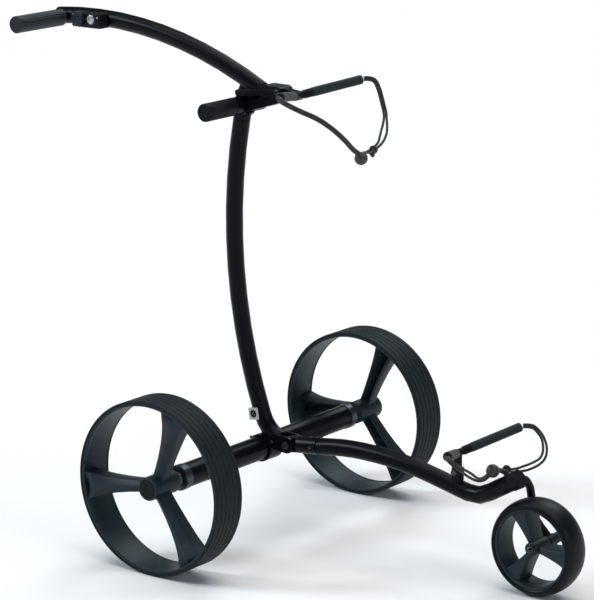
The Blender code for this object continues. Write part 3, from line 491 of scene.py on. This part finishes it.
# The drive inside the cross tube: two geared motors with bearings and shafts, and the control board.
# Motor cans and flanges are blackened steel, the shafts are ground bright, and the board is lacquered.
def ground_steel(place):
    stretched = place.node("Mapping", {"Vector": place, "Scale": (900.0, 60.0, 900.0)})
    marks = stretched.node("TexNoise", {"Vector": stretched, "Scale": 1.0, "Detail": 5.0}, output="Fac")
    return {
        "Base Color": shades(marks, (0.36, 0.36, 0.37), (0.56, 0.56, 0.57)),
        "Roughness": 0.20 + 0.20 * marks,
        "Normal": relief(marks, 0.000006, 0.0003),
    }


def blackened_steel(place):
    blotch = grain(place, 130.0)
    return {
        "Base Color": shades(blotch, (0.040, 0.046, 0.054), (0.085, 0.095, 0.108)),
        "Roughness": 0.26 + 0.22 * blotch,
        "Normal": relief(grain(place, 1700.0, 2.0), 0.000008, 0.0004),
    }


def board_lacquer(place):
    tracks = place.node(
        "TexBrick",
        {
            "Vector": place, "Scale": 160.0, "Mortar Size": 0.03, "Color1": (0.004, 0.06, 0.02),
            "Color2": (0.006, 0.08, 0.03), "Mortar": (0.03, 0.20, 0.07),
        },
    )
    film = grain(place, 300.0)
    return {"Base Color": tracks, "Roughness": 0.25 + 0.2 * film, "Normal": relief(film, 0.00002)}


bright_steel = finish("ground_steel", {"Metallic": 1.0}, ground_steel)
black_steel = finish("blackened_steel", {"Metallic": 0.9}, blackened_steel)
keep(
    bright_steel, "gearbox_left", "gearbox_right", "shaft_bearing_left", "shaft_bearing_right",
    "drive_shaft_left", "drive_shaft_right", "grip_bar", "front_wheel_bush", "button_spring",
)
keep(
    black_steel, "motor_left", "motor_right", "end_flange_left", "end_flange_right", "fold_bolt",
    "coupler_screw", "bracket_screw",
)
keep(finish("board_lacquer", {"Coat Weight": 0.4}, board_lacquer), "control_board")


# The rear wheels. A moulded rim with a barrel, three hollow-backed spokes and a hub is pressed on the
# drive shaft. Its tyre is a thin band of solid rubber with five grooves, and a plain disc closes the hub.
def rounded(outline, radius, ring=False):
    """The outline with each of its corners turned into a small arc."""
    made = []
    count = len(outline)
    for i, (r, h) in enumerate(outline):
        if not ring and i in (0, count - 1):
            made.append((r, h))
            continue
        (r0, h0), (r1, h1) = outline[i - 1], outline[(i + 1) % count]
        before = ((r0 - r) ** 2 + (h0 - h) ** 2) ** 0.5
        after = ((r1 - r) ** 2 + (h1 - h) ** 2) ** 0.5
        a, b = min(radius, 0.42 * before) / before, min(radius, 0.42 * after) / after
        start = (r + a * (r0 - r), h + a * (h0 - h))
        end = (r + b * (r1 - r), h + b * (h1 - h))
        for t in (0.0, 0.33, 0.67, 1.0):
            made.append(tuple(
                (1 - t) ** 2 * s + 2 * t * (1 - t) * c + t * t * e for s, c, e in zip(start, (r, h), end)
            ))
    return made


def axes_along(axis):
    """Axes for a turned piece: its Z runs along the axis and its X stays as near world X as it can."""
    along = Vector(axis).normalized()
    start = Vector((1, 0, 0)) if abs(along.x) < 0.9 else Vector((0, 0, 1))
    across = (start - start.dot(along) * along).normalized()
    return Matrix((across, along.cross(across), along)).transposed()


def turned(name, outline, centre, axis, steps=64, ring=False, wave=None, crease=38):
    """A shape turned about an axis, from (radius, distance along it). wave changes a radius by angle."""
    lay = axes_along(axis)
    points, faces, rows = [], [], []
    for radius, along in outline:
        if radius < 1e-7:
            rows.append([len(points)])
            points.append(Vector(centre) + lay @ Vector((0, 0, along)))
            continue
        rows.append(list(range(len(points), len(points) + steps)))
        for k in range(steps):
            angle = 2 * pi * k / steps
            out = wave(angle, radius, along) if wave else radius
            points.append(Vector(centre) + lay @ Vector((out * cos(angle), out * sin(angle), along)))
    for first, second in zip(rows, rows[1:] + (rows[:1] if ring else [])):
        for k in range(steps):
            after = (k + 1) % steps
            if len(first) == 1 and len(second) == 1:
                break
            if len(first) == 1:
                faces.append((first[0], second[k], second[after]))
            elif len(second) == 1:
                faces.append((first[k], first[after], second[0]))
            else:
                faces.append((first[k], first[after], second[after], second[k]))
    return shaped(name, points, faces, crease)


def joined(name, pieces, crease=30):
    """One object from several that are cast or moulded together."""
    shape = bmesh.new()
    for piece in pieces:
        piece.data.transform(piece.matrix_world)
        shape.from_mesh(piece.data)
        bpy.data.objects.remove(piece, do_unlink=True)
    mesh = bpy.data.meshes.new(name)
    shape.to_mesh(mesh)
    shape.free()
    mesh.shade_smooth()
    mesh.set_sharp_from_angle(angle=radians(crease))
    made = bpy.data.objects.new(name, mesh)
    bpy.context.scene.collection.objects.link(made)
    return made


def wheel_spoke(name, stations, angle, centre, axis, hollow=0.0):
    """A moulded spoke. A station is (radius, half width, back, shoulder, ridge, half width of its flat).
    hollow is how far the back opens towards the front, from 0 to 1."""
    lay = axes_along(axis) @ Matrix.Rotation(radians(angle), 3, "Z")
    points, faces = [], []
    for radius, half, back, shoulder, ridge, flat in stations:
        wall = 0.72 * half
        deep = back + hollow * (ridge - back)
        section = [
            (-half, back), (-wall, back), (0.0, deep), (wall, back), (half, back), (half, shoulder),
            (flat, ridge), (-flat, ridge), (-half, shoulder),
        ]
        count = len(section)
        points += [Vector(centre) + lay @ Vector((radius, across, along)) for across, along in section]
    for i in range(len(stations) - 1):
        for k in range(count):
            after = (k + 1) % count
            faces.append((count * i + k, count * i + after, count * (i + 1) + after, count * (i + 1) + k))
    faces.append(tuple(range(count)))
    faces.append(tuple(range(count * (len(stations) - 1), count * len(stations))))
    made = shaped(name, points, faces, 25)
    soften = made.modifiers.new("moulded_edges", "BEVEL")
    soften.width = 0.0009
    soften.segments = 2
    soften.limit_method = "ANGLE"
    soften.angle_limit = radians(16)
    bpy.context.view_layer.update()
    mesh = bpy.data.meshes.new_from_object(made.evaluated_get(bpy.context.evaluated_depsgraph_get()))
    made.modifiers.clear()
    made.data = mesh
    return made


def slate_moulding(place):
    cloud = grain(place, 22.0)
    pebble = grain(place, 1500.0, 2.0)
    return {
        "Base Color": shades(cloud, (0.0095, 0.0175, 0.0225), (0.0170, 0.0300, 0.0380)),
        "Roughness": 0.40 + 0.12 * cloud,
        "Normal": relief(pebble, 0.00002),
    }


def tyre_rubber(place):
    dust = grain(place, 60.0)
    pores = grain(place, 1300.0)
    return {
        "Base Color": shades(dust, (0.0055, 0.0085, 0.0105), (0.0130, 0.0185, 0.0220)),
        "Roughness": 0.50 + 0.18 * dust,
        "Normal": relief(pores, 0.00004),
    }


def black_moulding(place):
    cloud = grain(place, 70.0)
    pebble = grain(place, 1800.0, 2.0)
    return {
        "Base Color": shades(cloud, (0.0022, 0.0030, 0.0042), (0.0060, 0.0075, 0.0100)),
        "Roughness": 0.40 + 0.15 * cloud,
        "Normal": relief(pebble, 0.000025, 0.0006),
    }


slate = finish("slate_moulding", {"Specular IOR Level": 0.18}, slate_moulding)
tyre_band = finish("tyre_rubber", {"Specular IOR Level": 0.14}, tyre_rubber)
black_plastic = finish("black_moulding", {"Specular IOR Level": 0.12}, black_moulding)

REAR_AXLE = Vector((-0.091, 0, 0.150))
TYRE_RADIUS = 0.150
INNER_FACE = 0.253
OUTER_FACE = 0.319
SEAT = 0.1454
GROOVES = 5
SPOKE_TURNS = (68, 188, 308)
SPOKE_HOLLOW = 0.75
for side, hand in ((1, "left"), (-1, "right")):
    axis = (0, side, 0)
    body = f"rear_wheel_{hand}"
    bead = SEAT + 0.0003
    band = [(bead, OUTER_FACE), (TYRE_RADIUS - 0.0012, OUTER_FACE), (TYRE_RADIUS, OUTER_FACE - 0.0016)]
    for k in range(GROOVES, 0, -1):
        middle = INNER_FACE + (OUTER_FACE - INNER_FACE) * k / (GROOVES + 1)
        band += [
            (TYRE_RADIUS, middle + 0.0011), (TYRE_RADIUS - 0.0011, middle + 0.0004),
            (TYRE_RADIUS - 0.0011, middle - 0.0004), (TYRE_RADIUS, middle - 0.0011),
        ]
    band += [(TYRE_RADIUS, INNER_FACE + 0.0016), (TYRE_RADIUS - 0.0012, INNER_FACE), (bead, INNER_FACE)]
    tread = turned(f"{hand}_grooved_tyre", rounded(band, 0.0004, True), REAR_AXLE, axis, 144, ring=True)
    dress(tread, tyre_band, body, "tyre_rubber", f"rear_tyre_{hand}")

    barrel = [
        (SEAT, OUTER_FACE - 0.0010), (SEAT, INNER_FACE + 0.0010), (SEAT - 0.0032, INNER_FACE + 0.0006),
        (SEAT - 0.0044, INNER_FACE + 0.0022), (SEAT - 0.0038, INNER_FACE + 0.0050),
        *[
            (
                SEAT - 0.0038 - 0.0018 * sin(pi * k / 8), INNER_FACE + 0.006 + 0.0535 * k / 8,
            ) for k in range(9)
        ],
        (SEAT - 0.0048, OUTER_FACE - 0.0030), (SEAT - 0.0038, OUTER_FACE - 0.0006),
    ]
    hub = [
        (0, OUTER_FACE - 0.0040), (0.0158, OUTER_FACE - 0.0040), (0.0160, OUTER_FACE - 0.0002),
        (0.0190, OUTER_FACE - 0.0002), (0.0200, OUTER_FACE - 0.0012), (0.0204, OUTER_FACE - 0.0180),
        (0.0200, INNER_FACE + 0.003), (0.0060, INNER_FACE + 0.003), (0, INNER_FACE + 0.004),
    ]
    stations = [
        (radius, half, OUTER_FACE - back, OUTER_FACE - shoulder, OUTER_FACE - ridge, flat)
        for radius, half, back, shoulder, ridge, flat in (
            (0.010, 0.0105, 0.0380, 0.0190, 0.0130, 0.0008), (0.030, 0.0103, 0.0380, 0.0185, 0.0120, 0.0008),
            (0.055, 0.0110, 0.0380, 0.0165, 0.0100, 0.0010), (0.080, 0.0128, 0.0375, 0.0140, 0.0080, 0.0012),
            (0.100, 0.0152, 0.0365, 0.0110, 0.0058, 0.0014), (0.115, 0.0178, 0.0355, 0.0080, 0.0042, 0.0016),
            (0.126, 0.0204, 0.0350, 0.0050, 0.0036, 0.0018), (0.134, 0.0226, 0.0345, 0.0030, 0.0060, 0.0014),
            (0.1408, 0.0246, 0.0340, 0.0014, 0.0110, 0.0010),
        )
    ]
    cast = [
        turned("barrel", rounded(barrel, 0.0008, True), REAR_AXLE, axis, 144, ring=True),
        turned("hub", rounded(hub, 0.0006), REAR_AXLE, axis, 64),
    ]
    for angle in SPOKE_TURNS:
        cast.append(wheel_spoke("spoke", stations, -side * angle, REAR_AXLE, axis, SPOKE_HOLLOW))
    dress(joined(f"{hand}_moulded_rim", cast), slate, body, "slate_plastic", f"rear_rim_{hand}")

    disc = [
        (0, OUTER_FACE - 0.0008), (0.0060, OUTER_FACE - 0.0008), (0.0068, OUTER_FACE - 0.0004),
        (0.0142, OUTER_FACE - 0.0003), (0.0154, OUTER_FACE - 0.0012), (0.0154, OUTER_FACE - 0.0034),
        (0, OUTER_FACE - 0.0034),
    ]
    dress(
        turned(f"{hand}_hub_disc", rounded(disc, 0.0004), REAR_AXLE, axis, 64), black_plastic, body,
        "black_plastic", f"hub_cap_{hand}",
    )


# The front wheel. A small moulded rim with three flat spokes turns on a bush round a through bolt, and
# carries a smooth solid tyre. The bolt has a polished dome head on the right and a long nut on the left.
def smooth_rubber(place):
    bloom = grain(place, 45.0)
    return {
        "Base Color": shades(bloom, (0.0022, 0.0034, 0.0046), (0.0055, 0.0078, 0.0098)),
        "Roughness": 0.33 + 0.12 * bloom,
        "Normal": relief(grain(place, 1300.0), 0.00002),
    }


FRONT_AXLE = Vector((0.474, 0, 0.082))
FRONT_SEAT = 0.0682
half_tyre = 0.026
balloon = [(0.0685, half_tyre - 0.0022), (0.0705, half_tyre - 0.0006), (0.0722, half_tyre - 0.0008)]
for i in range(25):
    angle = pi * (0.5 - i / 24)
    balloon.append((0.082 - 0.0098 * (1 - cos(angle)), (half_tyre - 0.0004) * sin(angle)))
balloon += [(0.0722, 0.0008 - half_tyre), (0.0705, 0.0006 - half_tyre), (0.0685, 0.0022 - half_tyre)]
dress(
    turned("front_round_tyre", balloon, FRONT_AXLE, (0, -1, 0), 112, ring=True),
    finish("smooth_rubber", {"Specular IOR Level": 0.12}, smooth_rubber), "front_wheel", "tyre_rubber",
    "front_tyre",
)
small_barrel = [
    (FRONT_SEAT, half_tyre - 0.0018), (FRONT_SEAT, 0.0018 - half_tyre),
    (FRONT_SEAT - 0.0030, 0.0016 - half_tyre), (FRONT_SEAT - 0.0048, 0.0045 - half_tyre),
    (FRONT_SEAT - 0.0056, 0), (FRONT_SEAT - 0.0048, half_tyre - 0.0045),
    (FRONT_SEAT - 0.0030, half_tyre - 0.0016),
]
small_hub = [
    (0.0076, 0.0222), (0.0108, 0.0222), (0.0117, 0.0212), (0.0120, 0), (0.0117, -0.0212),
    (0.0108, -0.0222), (0.0076, -0.0222),
]
small_stations = [
    (radius, half, -deep, deep - 0.0015, deep, max(half - 0.0030, 0.0008))
    for radius, half, deep in (
        (0.0085, 0.0048, 0.0165), (0.020, 0.0058, 0.0172), (0.034, 0.0080, 0.0182), (0.048, 0.0108, 0.0194),
        (0.058, 0.0136, 0.0204), (0.0652, 0.0160, 0.0212),
    )
]
cast = [
    turned("barrel", rounded(small_barrel, 0.0008, True), FRONT_AXLE, (0, -1, 0), 112, ring=True),
    turned("hub", rounded(small_hub, 0.0006, True), FRONT_AXLE, (0, -1, 0), 48, ring=True),
]
cast += [wheel_spoke("spoke", small_stations, angle, FRONT_AXLE, (0, -1, 0)) for angle in (115, 235, 355)]
dress(joined("front_moulded_rim", cast), slate, "front_wheel", "slate_plastic", "front_rim")

dome = [(0.0082 * sin(pi * k / 16), 0.0226 + 0.0076 * cos(pi * k / 16)) for k in range(8)]
dome += [
    (0.0082, 0.0238), (0.0096, 0.0238), (0.0098, 0.0228), (0.0040, 0.0226), (0.0040, -0.0620),
    (0, -0.0620),
]


def gloss_black(place):
    smear = grain(place, 150.0)
    return {
        "Base Color": shades(smear, (0.001, 0.0012, 0.0016), (0.003, 0.0035, 0.0045)),
        "Roughness": 0.07 + 0.08 * smear,
    }


polished = finish("gloss_black", {"Specular IOR Level": 0.5}, gloss_black)
dress(
    turned("front_dome_bolt", rounded(dome, 0.0005), FRONT_AXLE, (0, -1, 0), 48), polished,
    "front_section", "dark_steel", "front_axle_bolt",
)
nut = [
    (0.0043, 0.0660), (0.0080, 0.0660), (0.0090, 0.0650), (0.0090, 0.0600), (0.0084, 0.0595),
    (0.0084, 0.0590), (0.0090, 0.0585), (0.0090, 0.0500), (0.0100, 0.0490), (0.0100, 0.0458),
    (0.0043, 0.0458),
]
dress(
    turned("front_long_nut", rounded(nut, 0.0004, True), FRONT_AXLE, (0, 1, 0), 48, ring=True),
    black_plastic, "front_section", "black_plastic", "front_axle_nut",
)
keep(black_plastic, "front_fork", "lower_bracket", "socket_body")


# The bag rests. Each arm carries a foam sleeve on a ribbed rubber neck, with a pressed washer at its tip.
# The upper arms grow out of the head bracket and the lower ones out of a clamp on the front tube.
def closed_foam(place):
    cells = place.node("TexVoronoi", {"Vector": place, "Scale": 1500.0}, output="Distance")
    wear = grain(place, 90.0)
    return {
        "Base Color": shades(wear, (0.012, 0.017, 0.018), (0.028, 0.036, 0.038)),
        "Roughness": 0.66 + 0.2 * wear,
        "Normal": relief(cells, 0.00012),
    }


def ribbed_rubber(place):
    bloom = grain(place, 120.0)
    return {
        "Base Color": shades(bloom, (0.0020, 0.0030, 0.0042), (0.0055, 0.0072, 0.0098)),
        "Roughness": 0.42 + 0.2 * bloom,
        "Normal": relief(grain(place, 1600.0), 0.00003, 0.0003),
    }


foam = finish(
    "closed_cell_foam", {"Specular IOR Level": 0.14, "Sheen Weight": 0.12, "Sheen Roughness": 0.4},
    closed_foam,
)
grip_rubber = finish("ribbed_rubber", {"Specular IOR Level": 0.12}, ribbed_rubber)
SLEEVE_LENGTH = 0.100
RIBS = 4
BARE_SHARE = 0.42
for rest, body, root, tip in (
    ("upper", "frame", Vector((-0.022, 0, 0.7746)), Vector((0.0296, 0.1139, 0.7932))),
    ("lower", "front_section", Vector((0.3127, 0, 0.2111)), Vector((0.3668, 0.1088, 0.2413))),
):
    for side, hand in ((1, "left"), (-1, "right")):
        mirror = Matrix.Diagonal((1, side, 1))
        out = (mirror @ (tip - root)).normalized()
        start = mirror @ tip - SLEEVE_LENGTH * out
        sleeve = [
            (0.0048, SLEEVE_LENGTH - 0.0012), (0.0062, SLEEVE_LENGTH - 0.0010),
            (0.0078, SLEEVE_LENGTH - 0.0022), (0.0080, SLEEVE_LENGTH - 0.005), (0.0079, 0.06),
            (0.0080, 0.03), (0.0080, 0.003), (0.0074, 0.0006), (0.0048, 0.0006),
        ]
        dress(
            turned(
                f"{rest}_foam_sleeve_{hand}", rounded(sleeve, 0.0012, True), start, out, 40, ring=True,
            ),
            foam, body, "foam", f"{rest}_sleeve_{hand}",
        )
        washer = [
            (0, SLEEVE_LENGTH - 0.0004), (0.0022, SLEEVE_LENGTH - 0.0004),
            (0.0026, SLEEVE_LENGTH - 0.0010), (0.0046, SLEEVE_LENGTH - 0.0009),
            (0.0050, SLEEVE_LENGTH - 0.0016), (0.0046, SLEEVE_LENGTH - 0.0040),
            (0, SLEEVE_LENGTH - 0.0040),
        ]
        dress(
            turned(f"{rest}_tip_washer_{hand}", washer, start, out, 32), grip_rubber, body, "grip_rubber",
        )
        reach = (start - root).length
        neck_length = reach - reach * BARE_SHARE
        rib_pitch = neck_length / RIBS
        ribs = [(0.0050, -0.0002)]
        for k in range(RIBS):
            far = -0.0006 - k * rib_pitch
            ribs += [
                (0.0076, far), (0.0076, far - 0.0016), (0.0066, far - 0.0020),
                (0.0066, far - rib_pitch + 0.0006),
            ]
        ribs += [(0.0050, -neck_length)]
        dress(
            turned(f"{rest}_ribbed_neck_{hand}", rounded(ribs, 0.0003, True), start, out, 32, ring=True),
            grip_rubber, body, "grip_rubber",
        )


# The folding head. A ribbed rubber knob on the right pulls the clamp bolt through the handle's tongue.
# A flat lever beside the handle tube locks it, and a cross-head pin holds the lever to its stud.
def flutes(count, depth, low, high, inner):
    """A wave for turned(): shallow flutes between two distances along the axis, outside an inner radius."""

    def wave(angle, radius, along):
        if radius < inner or not low <= along <= high:
            return radius
        return radius - depth * (0.5 + 0.5 * cos(count * angle)) ** 3

    return wave


def evenly(low, high, steps):
    return [low + (high - low) * i / steps for i in range(steps + 1)]


HANDLE_FOLD = Vector((-0.137, 0, 0.748))
knob = [
    (0, 0.1062), (0.0030, 0.1062), (0.0034, 0.1056), (0.0052, 0.1056), (0.0056, 0.1064), (0.0078, 0.1064),
    (0.0082, 0.1058), (0.0102, 0.1058), (0.0106, 0.1066), (0.0126, 0.1068), (0.0146, 0.1066),
    (0.0155, 0.1054), (0.0155, 0.1010), (0.0150, 0.1004), (0.0150, 0.0996), (0.0155, 0.0990),
]
knob += [(0.0155, along) for along in evenly(0.0975, 0.0640, 4)]
knob += [
    (0.0155, 0.0620), (0.0150, 0.0614), (0.0150, 0.0602), (0.0155, 0.0596), (0.0155, 0.0380),
    (0.0150, 0.0374), (0.0150, 0.0362), (0.0155, 0.0356), (0.0155, 0.0334), (0.0148, 0.0322),
    (0.0043, 0.0320), (0.0043, 0.0810), (0, 0.0810),
]
dress(
    turned(
        "ribbed_clamp_knob", knob, HANDLE_FOLD, (0, -1, 0), 192,
        wave=flutes(32, 0.0006, 0.063, 0.098, 0.0153),
    ),
    grip_rubber, "clamp_knob", "grip_rubber", "clamp_knob",
)


def cap_screw(name, at, axis, radius, height):
    """A small socket-head screw with a hexagonal socket."""

    def hexagon(angle, r, along):
        return r / cos((angle + pi / 6) % (pi / 3) - pi / 6) if r < 0.56 * radius else r

    head = [
        (0, 0.35 * height), (0.48 * radius, 0.35 * height), (0.50 * radius, height),
        (0.80 * radius, height), (radius, 0.75 * height), (radius, 0), (0, 0),
    ]
    return turned(name, head, at, axis, 36, wave=hexagon, crease=30)


for name, body, at, axis, radius, height in (
    ("lever_pin", "lock_lever", (-0.050, -0.0206, 0.7805), (0, -1, 0), 0.0042, 0.0022),
    ("saddle_screw_front", "frame", (-0.066, -0.0150, 0.1655), (0.15, -0.9, 0.4), 0.0026, 0.0016),
    ("saddle_screw_rear", "frame", (-0.112, -0.0150, 0.1655), (-0.2, -0.9, 0.4), 0.0026, 0.0016),
    ("coupler_top_screw_rear", "front_section", (0.0080, 0.0, 0.1828), (-0.1, 0, 1), 0.0028, 0.0018),
    ("coupler_top_screw_front", "front_section", (0.0210, 0.0, 0.1842), (-0.1, 0, 1), 0.0028, 0.0018),
    ("tube_screw_left", "frame", (-0.091, 0.120, 0.1292), (0, 0, -1), 0.0030, 0.0020),
    ("tube_screw_right", "frame", (-0.091, -0.160, 0.1292), (0, 0, -1), 0.0030, 0.0020),
):
    dress(cap_screw(name, Vector(at), axis, radius, height), black_steel, body, "dark_steel")


# The side grip and the controls. The grip is a rubber sleeve on a steel cross bar with a ringed end cap.
# The control housing beside it carries a knurled speed dial, a bright push button and a small signal lamp.
# The sleeve rubber is painted lighter than the ribbed rubber of the clamp knob: a painted highlight in its
# base colour.
def highlit_grip_sleeve(place):
    bloom = grain(place, 120.0)
    return {
        "Base Color": shades(bloom, (0.0110, 0.0150, 0.0215), (0.0220, 0.0290, 0.0400)),
        "Roughness": 0.36 + 0.16 * bloom,
        "Normal": relief(grain(place, 1600.0), 0.00003, 0.0003),
    }


highlit_grip = finish("highlit_grip_sleeve", {"Specular IOR Level": 0.2}, highlit_grip_sleeve)
GRIP_AXIS = Vector((-0.536, 0, 0.864))
grip = [
    (0, 0.1352), (0.0034, 0.1352), (0.0038, 0.1346), (0.0062, 0.1346), (0.0066, 0.1354), (0.0094, 0.1354),
    (0.0098, 0.1348), (0.0118, 0.1348), (0.0122, 0.1358), (0.0140, 0.1360), (0.0150, 0.1350),
    (0.0150, 0.1315), (0.0145, 0.1309), (0.0145, 0.1301), (0.0150, 0.1295),
]
grip += [(0.0150, along) for along in evenly(0.1280, 0.0290, 10)]
grip += [
    (0.0150, 0.0270), (0.0145, 0.0264), (0.0145, 0.0254), (0.0150, 0.0248), (0.0150, 0.0186),
    (0.0142, 0.0170), (0.0098, 0.0168), (0.0098, 0.1285), (0, 0.1285),
]
dress(
    turned(
        "ribbed_side_grip", grip, GRIP_AXIS, (0, -1, 0), 144,
        wave=flutes(24, 0.0005, 0.028, 0.129, 0.0149),
    ),
    highlit_grip, "handle", "grip_rubber", "side_grip",
)
keep(black_plastic, "control_housing")

FACE_Y = -0.034
DIAL_CENTRE = Vector((-0.4796, FACE_Y, 0.8690))
dial = [
    (0, 0.0066), (0.0040, 0.0066), (0.0044, 0.0072), (0.0086, 0.0072), (0.0090, 0.0066), (0.0098, 0.0066),
    (0.0102, 0.0072), (0.0112, 0.0071), (0.0126, 0.0060), (0.0128, 0.0052), (0.0128, 0.0010),
    (0.0124, 0.0003), (0.0030, 0.0003), (0.0030, -0.0080), (0, -0.0080),
]
# The dial is black plastic but takes the grip sleeve's lighter rubber, a painted highlight.
dress(
    turned(
        "knurled_speed_dial", dial, DIAL_CENTRE, (0, -1, 0), 216,
        wave=flutes(36, 0.0006, 0.0005, 0.0062, 0.0120),
    ),
    highlit_grip, "speed_dial", "black_plastic", "speed_dial",
)


def pale_print(place):
    ink = grain(place, 900.0)
    return {
        "Base Color": shades(ink, (0.62, 0.63, 0.64), (0.78, 0.79, 0.80)), "Roughness": 0.45 + 0.1 * ink,
    }


def lamp_lens(place):
    glow = grain(place, 500.0)
    return {
        "Base Color": shades(glow, (0.35, 0.38, 0.42), (0.62, 0.66, 0.70)),
        "Roughness": 0.08 + 0.1 * glow,
    }


white_ink = finish("pale_print", {}, pale_print)
mark = []
mark_radius = 0.0107
for k in range(7):
    angle = radians(120 + k * 3)
    mark.append(DIAL_CENTRE + Vector((mark_radius * cos(angle), -0.0070, mark_radius * sin(angle))))
dress(
    swept("dial_mark", mark, lambda travelled, angle: 0.00035, 8), white_ink, "speed_dial", "socket_grey",
)

BUTTON_CENTRE = Vector((-0.4510, FACE_Y, 0.8690))
button = [
    (0, 0.0034), (0.0030, 0.00335), (0.0056, 0.0031), (0.0060, 0.0027), (0.0066, 0.0027),
    (0.0070, 0.0030), (0.0077, 0.0025), (0.0080, 0.0018), (0.0080, -0.0035), (0, -0.0035),
]
dress(
    turned("bright_push_button", rounded(button, 0.0002), BUTTON_CENTRE, (0, -1, 0), 64), bright_steel,
    "push_button", "steel", "push_button",
)
collar = [(0.0084, 0.0002), (0.0084, 0.0008), (0.0096, 0.0008), (0.0100, 0.0002)]
dress(
    turned("button_collar", rounded(collar, 0.0002, True), BUTTON_CENTRE, (0, -1, 0), 48, ring=True),
    black_steel, "handle", "dark_steel",
)
lens = [(0, 0.0008), (0.0010, 0.0006), (0.0015, 0.0000), (0.0015, -0.0004), (0, -0.0004)]
dress(turned("signal_lamp", lens, Vector((-0.4372, FACE_Y, 0.8730)), (0, -1, 0), 24),
      finish("lamp_lens", {"Specular IOR Level": 0.7}, lamp_lens), "handle", "socket_grey")


# The charging socket. A pale moulded face plate is clipped on a black body behind the mast's lower bend.
# Its round insert holds three bright contact pins under a small keyway.
def pale_moulding(place):
    cloud = grain(place, 140.0)
    pebble = grain(place, 2200.0, 2.0)
    return {
        "Base Color": shades(cloud, (0.37, 0.36, 0.33), (0.50, 0.49, 0.46)),
        "Roughness": 0.42 + 0.15 * cloud,
        "Normal": relief(pebble, 0.00003, 0.0005),
    }


keep(finish("pale_moulding", {}, pale_moulding), "socket_plate")
LEAN = radians(-9)
SOCKET = Vector((-0.1024, -0.0198, 0.2103))
insert = [
    (0, -0.0004), (0.0048, -0.0004), (0.0052, 0.0006), (0.0062, 0.0008), (0.0066, 0.0000),
    (0.0066, -0.0012), (0, -0.0012),
]
dress(
    turned("socket_insert", rounded(insert, 0.0002), SOCKET, (0, -1, 0), 48), black_plastic, "frame",
    "black_plastic",
)
for k in range(3):
    angle = LEAN + pi / 2 + 2 * pi * k / 3
    pin = [(0, 0.0014), (0.0005, 0.0013), (0.0008, 0.0009), (0.0008, -0.0004), (0, -0.0004)]
    at = SOCKET + Vector((0.0027 * cos(angle), -0.0004, 0.0027 * sin(angle)))
    dress(turned(f"contact_pin_{k + 1}", pin, at, (0, -1, 0), 20), bright_steel, "frame", "steel")
